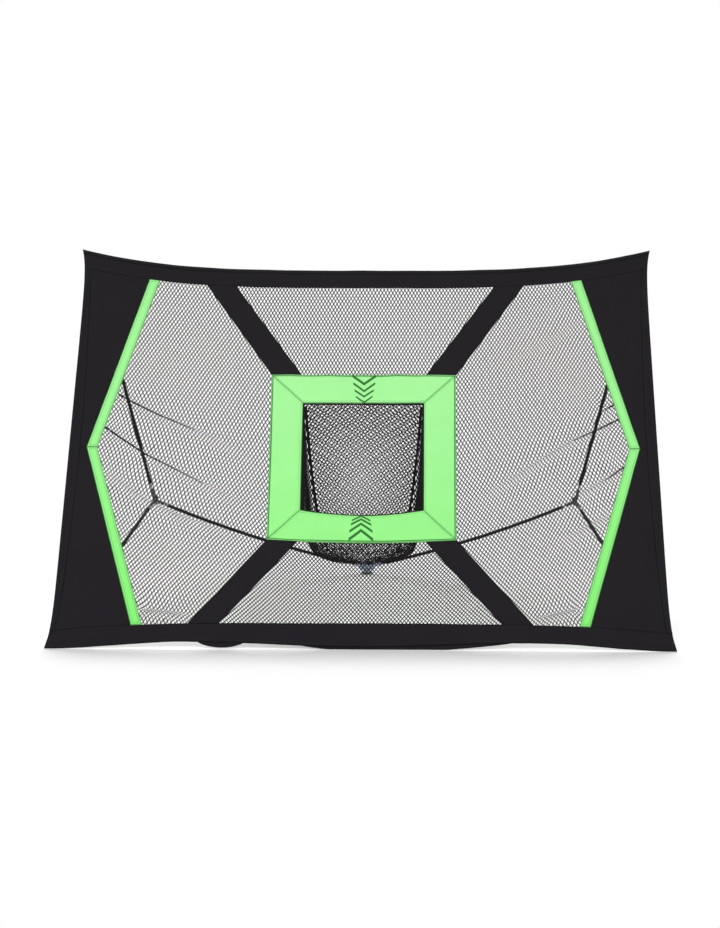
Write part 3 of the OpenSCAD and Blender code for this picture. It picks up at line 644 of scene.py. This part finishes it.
for turns, name in enumerate(("border_top", "border_left", "border_bottom", "border_right")):
    def spun(p):
        x, y = p
        for k in range(turns):
            x, y = -y, x
        return (x, pocketH + y - sag(x, pocketH + y))

    a, b, c, d = [(sign * reach, reach) for reach in (mouthHalf, borderHalf) for sign in (-1, 1)]
    ends = ((a, b), (c, d), (a, c), (b, d))
    clothPiece(name, *[lambda f, p=p, q=q: spun(mixPoints(p, q, f)) for p, q in ends],
               dict(borderLook, relief=borderRelief,
                    rests=["strap_upper_left", "strap_upper_right", "strap_lower_left", "strap_lower_right"]))
print("pocket border made")


# Netting: real strands between diamond holes, cut to an outline
netLook = {"strand": 1.72, "thick": 0.8, "behind": -1.5, "slack": (2.0, 90), "overlap": 7, "spare": 9,
           "sideLow": 46, "sideHigh": 896, "strapHigh": 884, "topHigh": 881, "bottomLow": 51, "bottomOver": 3,
           "crease": 0.78, "creaseWide": 27, "creaseReach": 70.2, "creaseEnds": (6, 2.5), "fullCrease": 2.6,
           "edgeWide": 3.4, "edgeSteps": 40, "edgeTaper": 0.7, "edgeWobble": (0.2, 2.1), "edgeStart": 5}
drift = {"from": 400, "to": 680, "middle": 400, "height": 470, "reach": 75,
         "low": (0.27, 0.085), "high": (0.105, 0.02),  # slope of the rows and tilt of the columns
         "crowding": (0.117, 0.0000867), "sag": 0.0005}


def sideDrift(side):  # the rows of a side net slope down towards the pocket, more so low down
    def warp(x, h):
        f = max(0, min(1, (h - drift["from"]) / (drift["to"] - drift["from"])))
        slope, tilt = mixPoints(drift["low"], drift["high"], f * f * (3 - 2 * f))
        even, bent = drift["crowding"]
        up = slope * (x * side - drift["middle"]) - even * (h - drift["height"]) \
            + bent * (h * h - drift["height"] ** 2)
        x -= side * tilt * (h - drift["height"])
        dx, dh = creaseShift(x, h + up)
        return x + dx, h + up + dh
    return warp


def cutPlane(bm, at, facing, clear=False):  # clear: what lies in front of the plane is taken away
    bmesh.ops.bisect_plane(bm, geom=bm.verts[:] + bm.edges[:] + bm.faces[:], plane_co=at, plane_no=facing,
                           clear_outer=clear)


def netStrands(outline, cell, strand, shift=(0.0, 0.0), warp=None):
    cellW, cellH = cell[0] / 2, cell[1] / 2
    xs, ys = zip(*outline)
    midX = round((min(xs) + max(xs)) / 2 / cellW) * cellW + shift[0]
    midY = round((min(ys) + max(ys)) / 2 / cellH / 2) * cellH * 2 + shift[1]
    spare = drift["reach"] if warp else netLook["spare"]
    reach = ((max(xs) - min(xs)) / 2 + spare) / cellW + ((max(ys) - min(ys)) / 2 + spare) / cellH + 4
    count = int(reach / 2) * 2
    bm = bmesh.new()
    bmesh.ops.create_grid(bm, x_segments=count, y_segments=count, size=count / 2)
    shear = Matrix(((cellW, -cellW, 0, midX), (cellH, cellH, 0, midY), (0, 0, 1, 0), (0, 0, 0, 1)))
    bmesh.ops.transform(bm, matrix=shear, verts=bm.verts)
    outside = [face for face in bm.faces if not nearBox(*face.calc_center_median()[:2], outline, spare)]
    bmesh.ops.delete(bm, geom=outside, context="FACES")
    holes = bm.faces[:]
    bmesh.ops.inset_individual(bm, faces=holes, thickness=strand / 2, use_even_offset=True)
    bmesh.ops.delete(bm, geom=holes, context="FACES_ONLY")
    if warp:
        for vert in bm.verts:
            vert.co.x, vert.co.y = warp(vert.co.x, vert.co.y)
    for a, b in zip(outline, outline[1:] + outline[:1]):  # trim along each straight edge
        cutPlane(bm, (a[0], a[1], 0), (b[1] - a[1], a[0] - b[0], 0), clear=True)
    bm.normal_update()
    bmesh.ops.solidify(bm, geom=bm.faces[:], thickness=netLook["thick"])
    return bm


def netArea(outline, cell, strand):  # of the strands inside an outline, in square metres
    pitch = cell[0] * cell[1] / math.hypot(*cell)
    cover = 1 - (1 - strand / pitch) ** 2
    loop = zip(outline, outline[1:] + outline[:1])
    return cover * abs(sum(a[0] * b[1] - b[0] * a[1] for a, b in loop)) / 2e6


def netHeight(x, h):
    return foldHeight(x, h) + slackHeight(x, h, *netLook["slack"])


def creaseShift(x, h):  # the cells crowd together along each fold, less along a low one
    dx = dh = 0.0
    for line, height, wide, ripple, sharp in folds:
        if nearBox(x, h, line, netLook["creaseReach"]):
            off, place = lineDistance(x, h, line)
            k = min(len(line) - 2, int(place * (len(line) - 1)))
            along = Vector((line[k + 1][0] - line[k][0], line[k + 1][1] - line[k][1])).normalized()
            first, last = netLook["creaseEnds"]
            ends = min(1, first * place, last * (1 - place))
            weight = netLook["crease"] * ends * min(1, height / netLook["fullCrease"]) ** 1.5
            near = off * weight * ridge(off, netLook["creaseWide"])
            dx -= along.y * near
            dh += along.x * near
    return dx, dh


def creaseEdges(bm, side):  # where the net folds over, its strands lie on each other in a dark line
    section = ((1, 0.3), (1, -1.1), (-1, -1.1), (-1, 0.3))  # half widths across, millimetres out
    wobble, turn = netLook["edgeWobble"]
    for line, height, wide, ripple, sharp in folds:
        if not sharp or line[0][0] * side < 0:
            continue
        steps = int(netLook["edgeSteps"] * sharp)
        rings = []
        for k in range(steps + 1):
            place = sharp * k / steps * (len(line) - 1)
            i = min(len(line) - 2, int(place))
            x, h = mixPoints(line[i], line[i + 1], place - i)
            across = Vector((line[i][1] - line[i + 1][1], line[i + 1][0] - line[i][0])).normalized()
            half = netLook["edgeWide"] / 2 * (1 - (k / steps) ** 2 * netLook["edgeTaper"])
            half *= 1 + wobble * math.sin(k * turn)
            z = netLook["behind"] + netHeight(x, h) * min(1, k / netLook["edgeStart"])
            rings.append([bm.verts.new((x + across.x * half * a, h + across.y * half * a, z + b))
                          for a, b in section])
        for a, b in zip(rings, rings[1:]):
            for m in range(4):
                bm.faces.new((a[m], b[m], b[m - 3], a[m - 3]))
        bm.faces.new(rings[0])
        bm.faces.new(rings[-1][::-1])


def trapezium(lowHalf, low, highHalf, high):
    return [(-lowHalf, low), (lowHalf, low), (highHalf, high), (-highHalf, high)]


over, strap = netLook["overlap"], screen["strap"]
netX, netApex = windowX - screen["trim"] + over, apexX - screen["trim"] + over
sideOutline = [(screen["strapLow"] - over, netLook["sideLow"]), (netX, netLook["sideLow"]), (netApex, apexH),
               (netX, netLook["sideHigh"]), (screen["strapTop"] - over, netLook["strapHigh"]),
               (borderHalf - over, pocketTop), (borderHalf - over, pocketLow)]
pocketX = borderHalf - strap + over
topOutline = trapezium(pocketX, pocketTop - over, screen["strapTop"] - strap + over, netLook["topHigh"])
lowOutline = trapezium(screen["strapLow"] - strap + over, netLook["bottomLow"], pocketX,
                       pocketLow + netLook["bottomOver"])
nets = {  # outline, cell, warp and the pieces it is sewn to
    "net_right": (sideOutline, (7.7, 12.9), sideDrift(1), ["trim_right_upper", "border_right"]),
    "net_left": ([(-x, h) for x, h in reversed(sideOutline)], (7.9, 14.0), sideDrift(-1),
                 ["trim_left_upper", "border_left"]),
    "net_top": (topOutline, (7.6, 14.8), None, ["top_band", "border_top"]),
    "net_bottom": (lowOutline, (7.9, 9.7), lambda x, h: (x, h + drift["sag"] * x * x),
                   ["bottom_band", "border_bottom"]),
}
for name, (outline, cell, warp, rests) in nets.items():
    bm = netStrands(outline, cell, netLook["strand"], warp=warp)
    for vert in bm.verts:
        vert.co.z += netLook["behind"] + netHeight(vert.co.x, vert.co.y)
    if name in ("net_left", "net_right"):
        creaseEdges(bm, -1 if name == "net_left" else 1)
        bmesh.ops.recalc_face_normals(bm, faces=bm.faces)
    piece = lastPlace(bm, name + "_strands", blackNet, screenPlace, smooth=False)
    xs, hs = zip(*outline)
    area = netArea(outline, cell, netLook["strand"])
    hangOnScreen(piece, name, "netting", (max(xs) - min(xs), max(hs) - min(hs)), area, rests)
print("nets made")


# Catch bag: one long net down the back, under and up the front, and two side gussets
bag = {"depth": 140, "floorGap": 120, "round": 34, "flat": 8, "bulge": 6, "rim": 1.2, "steps": 60,
       "square": 0.12, "rounding": 0.7, "narrow": 0.08, "taper": 0.1, "close": 0.96,
       "full": 0.1, "fullAt": 0.36, "fullWide": 0.15,  # fullness below the border
       "wall": 1.4, "ease": 0.98, "cell": (8.5, 12.1), "backStrand": 1.6, "frontStrand": 1.0,
       "ripple": (2.2, 45, 60),  # height, width and length
       "seam": 3.2, "seamIn": 0.025, "seamDown": 0.96, "seamSteps": 44, "seamWall": 0.4, "seamThick": 0.8,
       "lining": 0.74, "liningWall": 4.2, "liningCell": (13.8, 7.3), "liningStrand": 1.2,
       "liningShift": (2.5, 3.5), "liningWander": 2.2, "wanderLong": 70,
       "gussetWide": 190, "gussetLong": 245, "gussetReach": 250, "gussetRipple": (2.6, 40, 50),
       "gussetChange": 150, "gussetStrands": (2.8, 1.0)}  # its strands get thinner from this far down
mouthBack = 1.5 + bag["rim"]


def slopePoint(h, back):
    return (screen["frontY"] + h * math.sin(lean) + back * math.cos(lean),
            screen["lift"] + h * math.cos(lean) - back * math.sin(lean))


bagMid = slopePoint(pocketH + mouthHalf, 0)[0] - bag["depth"] / 2


def bend(p, q, r, f):
    return tuple((1 - f) ** 2 * a + 2 * f * (1 - f) * b + f * f * c for a, b, c in zip(p, q, r))


def bagWall(side, f, wall):  # side 1 for the back, -1 for the front; f down from the mouth
    reach = bag["depth"] / 2 + (bag["bulge"] if side > 0 else 0) - wall
    return bend(slopePoint(pocketH + side * (mouthHalf - wall), mouthBack),
                (bagMid + side * reach, bag["floorGap"] + bag["round"] + wall),
                (bagMid + side * bag["flat"], bag["floorGap"] + wall), f)


def softness(f):  # how far a ring is from a square: 0 square, 1 round
    return bag["square"] + bag["rounding"] * f ** 1.5


def bagPoint(f, across, around, wall):
    # a point on the bag: f down from the mouth, across and around run -1 to 1 on a softened square;
    # on a gusset across is None and around holds the place around and the side
    power = 2 / softness(f)
    half = (mouthHalf - wall) * (1 - bag["narrow"] * f) * math.sqrt(1 - bag["close"] * f ** 5)
    a, b = bagWall(-1, f, wall), bagWall(1, f, wall)
    if across is None:
        across = math.copysign(max(0.0, 1 - abs(around[0]) ** power) ** (1 / power), around[1])
        around = around[0]
    elif around in (-1, 1):
        around = around * max(0.0, 1 - abs(across) ** power) ** (1 / power)
    half *= 1 - bag["taper"] * min(1, 2 * f) * (1 + around) / 2
    half *= 1 + bag["full"] * ridge(f - bag["fullAt"], bag["fullWide"]) * max(0, -around)
    drop = sag(half * across, pocketH - mouthHalf) * max(0, -around) * (1 - f) ** 2
    y = (a[0] + b[0]) / 2 + (b[0] - a[0]) / 2 * around - drop * math.sin(lean)
    z = (a[1] + b[1]) / 2 + (b[1] - a[1]) / 2 * around - drop * math.cos(lean)
    return (half * across, y, z)


def corner(f):  # where a gusset meets the long net
    return 2 ** (-softness(f) / 2)


steps = [k / bag["steps"] for k in range(bag["steps"] + 1)]
profile = [(f, 1) for f in steps] + [(1 - f, -1) for f in steps]
lengths = [0.0]
for (fa, sa), (fb, sb) in zip(profile, profile[1:]):
    lengths.append(lengths[-1] + math.dist(bagWall(sa, fa, 0), bagWall(sb, fb, 0)))


def profileAt(d):
    d = max(0.0, min(lengths[-1], d))
    k = max(i for i in range(len(lengths)) if lengths[i] <= d)
    if k >= len(lengths) - 1:
        return profile[-1]
    g = (d - lengths[k]) / (lengths[k + 1] - lengths[k])
    if profile[k][1] != profile[k + 1][1]:
        return (1.0, 1 if g < 0.5 else -1)
    return (profile[k][0] * (1 - g) + profile[k + 1][0] * g, profile[k][1])


def bagNet(outline, cell, strand, mapping, shift=(0.0, 0.0)):
    bm = netStrands(outline, cell, strand, shift)
    markCut(bm)
    for vert in bm.verts:
        vert.co = mapping(vert.co)
    return bm


bagWidth, bagLength = 2 * mouthHalf * corner(0) * bag["ease"], lengths[-1]
backLength = lengths[bag["steps"]]


def rippled(co, size, layer):
    height, wide, long = size
    return height * noise.noise(Vector((co.x / wide, co.y / long, layer)))


def longNet(wall, wander=0.0):
    def mapping(co):
        spot = co / bag["wanderLong"]
        co = co + Vector((noise.noise(spot), noise.noise(spot + Vector((0, 0, 7))), 0)) * wander
        f, sign = profileAt(co.y)
        x = co.x / (bagWidth / 2) * corner(f)
        inward = wall - co.z + rippled(co, bag["ripple"], 2)
        return Vector(bagPoint(f, max(-1, min(1, x)), sign, inward))
    return mapping


def gusset(side, wall):
    def mapping(co):
        f = max(0.0, min(1.0, co.y / bag["gussetReach"]))
        around = max(-1, min(1, co.x / (bag["gussetWide"] / 2))) * corner(f)
        inward = wall - co.z + rippled(co, bag["gussetRipple"], 5 + side)
        return Vector(bagPoint(f, None, (around, side), inward))
    return mapping


def seamTape(side, end):
    # a strip folded round the corner where a gusset meets the long net
    bm = bmesh.new()
    bmesh.ops.create_grid(bm, x_segments=1, y_segments=bag["seamSteps"], size=0.5)
    bm.loops.layers.uv.new("cut")
    for vert in bm.verts:
        f = bag["seamDown"] * (vert.co.y + 0.5)
        reach = corner(f) * (1 - bag["seamIn"])
        place = (reach * side, end) if vert.co.x < 0 else (None, (reach * end, side))
        vert.co = Vector(bagPoint(f, *place, bag["seamWall"]))
    bmesh.ops.solidify(bm, geom=bm.faces[:], thickness=bag["seamThick"])
    return bm


def rectangle(wide, low, high):
    return trapezium(wide / 2, low, wide / 2, high)


outside = longNet(bag["wall"])
cuts = [(rectangle(bagWidth, 0, backLength), bag["cell"], bag["backStrand"], outside),
        (rectangle(bagWidth, backLength, bagLength), bag["cell"], bag["frontStrand"], outside),
        (rectangle(bagWidth, 0, backLength * bag["lining"]), bag["liningCell"], bag["liningStrand"],
         longNet(bag["liningWall"], bag["liningWander"]), bag["liningShift"])]
for side in (-1, 1):
    ends = (0, bag["gussetChange"], bag["gussetLong"])
    for low, high, strand in zip(ends, ends[1:], bag["gussetStrands"]):
        outline = rectangle(bag["gussetWide"], low, high)
        cuts.append((outline, bag["cell"], strand, gusset(side, bag["wall"])))
sheets = [bagNet(*cut) for cut in cuts] + [seamTape(side, end) for side in (-1, 1) for end in (-1, 1)]
bagArea = sum(netArea(*cut[:3]) for cut in cuts) + 4 * bag["seam"] * 2 * backLength / 1e6
bagMesh = bmesh.new()
for part in sheets:
    holder = bpy.data.meshes.new("part")
    part.to_mesh(holder)
    part.free()
    bagMesh.from_mesh(holder)
    bpy.data.meshes.remove(holder)
bmesh.ops.transform(bagMesh, matrix=Matrix.Scale(0.001, 4), verts=bagMesh.verts)
bmesh.ops.recalc_face_normals(bagMesh, faces=bagMesh.faces)
piece = lastPlace(bagMesh, "catch_bag_net", blackNet, Matrix(), smooth=False)
hangOnScreen(piece, "catch_bag", "netting", (bagWidth + 2 * bag["gussetWide"], bagLength), bagArea,
             ["border_top", "border_bottom"])

# Tape that binds the bag's rim behind the border
rim = {"wide": 12, "past": 8, "behind": -1.7, "thick": 1.0, "cuts": 14, "length": 4 * 264, "area": 0.0126}
bm = bmesh.new()
bmesh.ops.create_grid(bm, x_segments=1, y_segments=1, size=mouthHalf + rim["past"])
middle = bm.faces[:]
bmesh.ops.inset_individual(bm, faces=middle, thickness=rim["wide"], use_even_offset=True)
bmesh.ops.delete(bm, geom=middle, context="FACES")
bmesh.ops.translate(bm, verts=bm.verts, vec=(0, pocketH, rim["behind"]))
bmesh.ops.subdivide_edges(bm, edges=bm.edges[:], cuts=rim["cuts"], use_grid_fill=True)
for vert in bm.verts:
    vert.co.y -= sag(vert.co.x, vert.co.y)
bmesh.ops.solidify(bm, geom=bm.faces[:], thickness=rim["thick"])
bm.loops.layers.uv.new("seam")
tape = lastPlace(bm, "bag_rim_tape", blackCloth, screenPlace, smooth=False)
hangOnScreen(tape, None, "black_fabric", (rim["wide"], rim["length"]), rim["area"], ["border_top"])
print("catch bag made")


# Corner pouches: a triangular patch and a sewn tube around each ball cap
pouch = {"inset": 3, "slant": 12, "patch": 78, "behind": -1.0, "tipInset": 14, "tipBack": 7.8,
         "upper": (946, 12), "lower": (24, -16),  # height of the ball cap, and how far the patch goes past it
         "joint": (465, 480, -262), "radius": 6.4, "tight": 0.8, "length": 44, "seamAt": 12,
         "bottomAt": -2.4, "wall": 1.0, "flat": (80, 82), "area": 0.0042}


def patchX(h):
    return sideX(h) - pouch["inset"]


for side, word in ((-1, "left"), (1, "right")):
    for part, up in (("upper", 1), ("lower", -1)):
        tipH, past = pouch[part]
        h, inH = tipH + past, tipH + past - up * pouch["patch"]
        across, along = (patchX(h) - pouch["patch"], h - up * pouch["slant"]), (patchX(inH), inH)
        corners = [(patchX(h), h)] + [across, along][::up]
        tip = Vector((sideX(tipH) - pouch["tipInset"], tipH, -pouch["tipBack"]))
        run = (Vector(pouch["joint"]) - tip).normalized()
        bm = bmesh.new()
        bmesh.ops.create_cone(bm, cap_ends=True, segments=28, radius1=pouch["radius"] * pouch["tight"],
                              radius2=pouch["radius"], depth=pouch["length"])
        openEnd = [face for face in bm.faces if all(v.co.z > 0 for v in face.verts)]
        bmesh.ops.delete(bm, geom=openEnd, context="FACES_ONLY")
        cutPlane(bm, (0, 0, pouch["seamAt"]), (0, 0, 1))
        bmesh.ops.translate(bm, verts=bm.verts, vec=(0, 0, pouch["length"] / 2 - pouch["radius"]))
        aim = Vector((0, 0, 1)).rotation_difference(run).to_matrix().to_4x4()
        bmesh.ops.transform(bm, matrix=Matrix.Translation(tip) @ aim, verts=bm.verts)
        cutPlane(bm, (0, 0, pouch["bottomAt"]), (0, 0, 1), clear=True)
        bm.faces.new([bm.verts.new((x, y, pouch["behind"])) for x, y in corners])
        if side < 0:
            bmesh.ops.scale(bm, vec=(-1, 1, 1), verts=bm.verts)
        bmesh.ops.recalc_face_normals(bm, faces=bm.faces)
        bmesh.ops.solidify(bm, geom=bm.faces[:], thickness=pouch["wall"])
        bm.loops.layers.uv.new("seam")
        piece = lastPlace(bm, f"corner_pouch_{part}_{word}_cloth", blackCloth, screenPlace, smooth=False)
        hangOnScreen(piece, f"corner_pouch_{part}_{word}", "black_fabric", pouch["flat"], pouch["area"],
                     [f"tip_{part}_{word}"])

# Strip behind the bottom band that droops to the floor in two places
flap = {"top": 34, "end": 340, "low": 2.2, "above": 4, "drop": 0.9, "blunt": 0.6,
        "droops": ((-132, 322), (-338, -238))}


def droop(x, a, b):
    return math.sin(math.pi * (x - a) / (b - a)) ** flap["blunt"] if a < x < b else 0


def flapEdge(x):
    drop = flap["drop"] * screen["bottomLift"] * sum(droop(x, a, b) for a, b in flap["droops"])
    return max(flap["low"], bottomEdge(x) + flap["above"] - drop)


end, top = flap["end"], flap["top"]
clothPiece("ground_flap", alongX(-end, end, flapEdge), line((-end, top), (end, top)),
           line((-end, flapEdge(end)), (-end, top)), line((end, flapEdge(end)), (end, top)),
           dict(bandLook, thick=1.2, front=-1.1, puff=0, quilt=0, stepU=8, stepV=6, relief=slack(0, 60),
                rests=["bottom_band"]))
print("pouches and flap made")


# Finishes of the frame
def mouldedFinish(name, base, rough, grain, wear, spec=0.5):
    finish, shader, start = newFinish(name)
    fine = start.cloud(grain, 4.0, 0.6)
    broad = start.cloud(38.0, 3.0)
    rub = (start.cloud(160.0, 5.0) * 0.6 + broad * 0.5).fade(0.60, 0.74) * wear
    colour = (fine * 0.5 + broad * 0.3).paint(base, tinted(base, 1.8, 0.004))
    colour = rub.paint(colour, tinted(base, 3, 0.02))
    roughness = (fine - 0.5) * 0.16 + rough + rub * 0.08
    setShader(shader, start, {"Specular IOR Level": spec}, {"Base Color": colour, "Roughness": roughness},
              fine, 0.0001)
    return finish


def rodFinish():
    finish, shader, start = newFinish("glass_fibre")
    fibre = start.cloud(900.0, 5.0, 0.7)
    broad = start.cloud(24.0, 2.0)
    colour = (fibre * 0.7 + broad * 0.3).paint(shade(84, 93, 103), shade(160, 172, 186))
    setShader(shader, start, {"Coat Weight": 0.35, "Coat Roughness": 0.2},
              {"Base Color": colour, "Roughness": fibre * 0.2 + 0.28}, fibre, 0.00006)
    return finish


def steelFinish():
    finish, shader, start = newFinish("plated_steel")
    brush = start.cloud(1400.0, 3.0)
    spots = start.cloud(210.0, 4.0).fade(0.55, 0.75)
    colour = spots.paint(shade(196, 199, 204), shade(150, 150, 148))
    setShader(shader, start, {"Metallic": 1.0},
              {"Base Color": colour, "Roughness": brush * 0.25 + spots * 0.15 + 0.18}, brush, 0.00003)
    return finish


frameFinishes = {  # by how the pieces' names start
    ("rod_", "rear_rod_"): rodFinish(),
    ("sleeve_", "rear_sleeve_"): mouldedFinish("sleeve_vinyl", shade(12, 12, 13), 0.65, 1500.0, 0.2, 0.15),
    ("side_connector_", "side_eye_", "tip_"):
        mouldedFinish("grey_nylon", shade(58, 60, 63), 0.46, 2200.0, 0.5),
    ("hub_eye_", "rear_hub"): mouldedFinish("pale_nylon", shade(150, 161, 178), 0.5, 2000.0, 0.1, 0.3),
    ("side_pin_", "hub_pins"): steelFinish(),
    ("foot_pad",): mouldedFinish("foot_rubber", shade(24, 24, 25), 0.82, 1100.0, 0.4, 0.3),
}
for starts, finish in frameFinishes.items():
    for name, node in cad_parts.items():
        if name.startswith(starts):
            for place in node.material_slots:
                place.material = finish
print("frame finishes set")


# Floor, sky and lamps
def whiteRays(tree):
    path = tree.nodes.new("ShaderNodeLightPath")
    seen = Wire(tree, path.outputs["Is Camera Ray"])
    for ray in ("Is Glossy Ray", "Is Transmission Ray"):
        seen = seen.larger(Wire(tree, path.outputs[ray]))
    return seen


floorFinish, floorShader, start = newFinish("floor_white")
dust = start.cloud(3.0, 3.0)
tone, paler = room["floorWhite"], room["floorWhite"] + room["dust"]
floorColour = dust.paint((tone, tone, tone, 1), (paler, paler, paler, 1))
offset = start.node("ShaderNodeVectorMath", {"operation": "SUBTRACT"}, {0: start, 1: room["shadowAt"]})
away = offset.node("ShaderNodeVectorMath", {"operation": "LENGTH"}, {0: offset}, 1)
away = away.fade(room["whiteFrom"], room["whiteAt"]).larger(offset.part(1).fade(*room["frontWhite"]))
seen = whiteRays(start.tree) * away  # painted white glow: far from the net the camera sees plain white, fading in over the shadow nearer
floorColour = seen.paint(floorColour, (0, 0, 0, 1))
# the floor's emission: a painted white glow for camera, glossy and transmission rays
floorGlow = seen.paint((0, 0, 0, 1), (1, 1, 1, 1))
setShader(floorShader, start, {"Roughness": 1.0, "Specular IOR Level": 0.0, "Emission Strength": 1.0},
          {"Base Color": floorColour, "Emission Color": floorGlow})
bm = bmesh.new()
bmesh.ops.create_grid(bm, x_segments=2, y_segments=2, size=room["floorSize"] / 2)
floor = lastPlace(bm, "floor", floorFinish, Matrix(), smooth=False)

sky = bpy.data.worlds.new("sky")
bpy.context.scene.world = sky
sky.use_nodes = True
back = sky.node_tree.nodes["Background"]
level = whiteRays(sky.node_tree) * (1 - room["skyLight"]) + room["skyLight"]
sky.node_tree.links.new(level.socket, back.inputs["Strength"])
back.inputs["Color"].default_value = (1, 1, 1, 1)


def softLamp(name, at, aim, size, power):
    lamp = bpy.data.lights.new(name, "AREA")
    lamp.shape = "RECTANGLE"
    lamp.size, lamp.size_y = size
    lamp.energy = power
    holder = bpy.data.objects.new(name, lamp)
    holder.location = at
    holder.rotation_euler = (Vector(aim) - Vector(at)).to_track_quat("-Z", "Y").to_euler()
    bpy.context.collection.objects.link(holder)


softLamp("key_lamp", (-1.8, -3.9, 3.0), (0, 0, 0.3), (3.2, 2.2), room["keyLight"])
softLamp("fill_lamp", (2.6, -3.6, 2.7), (0, 0, 0.3), (2.8, 2.0), room["fillLight"])
softLamp("low_back_lamp", (0, 20, 5.8), (0, -0.4, 0), (26.0, 4.5), room["lowBackLight"])
softLamp("high_back_lamp", (0, 10.4, 10.8), (0, -0.4, 0), (18.0, 4.5), room["highBackLight"])
print("floor and lamps placed")
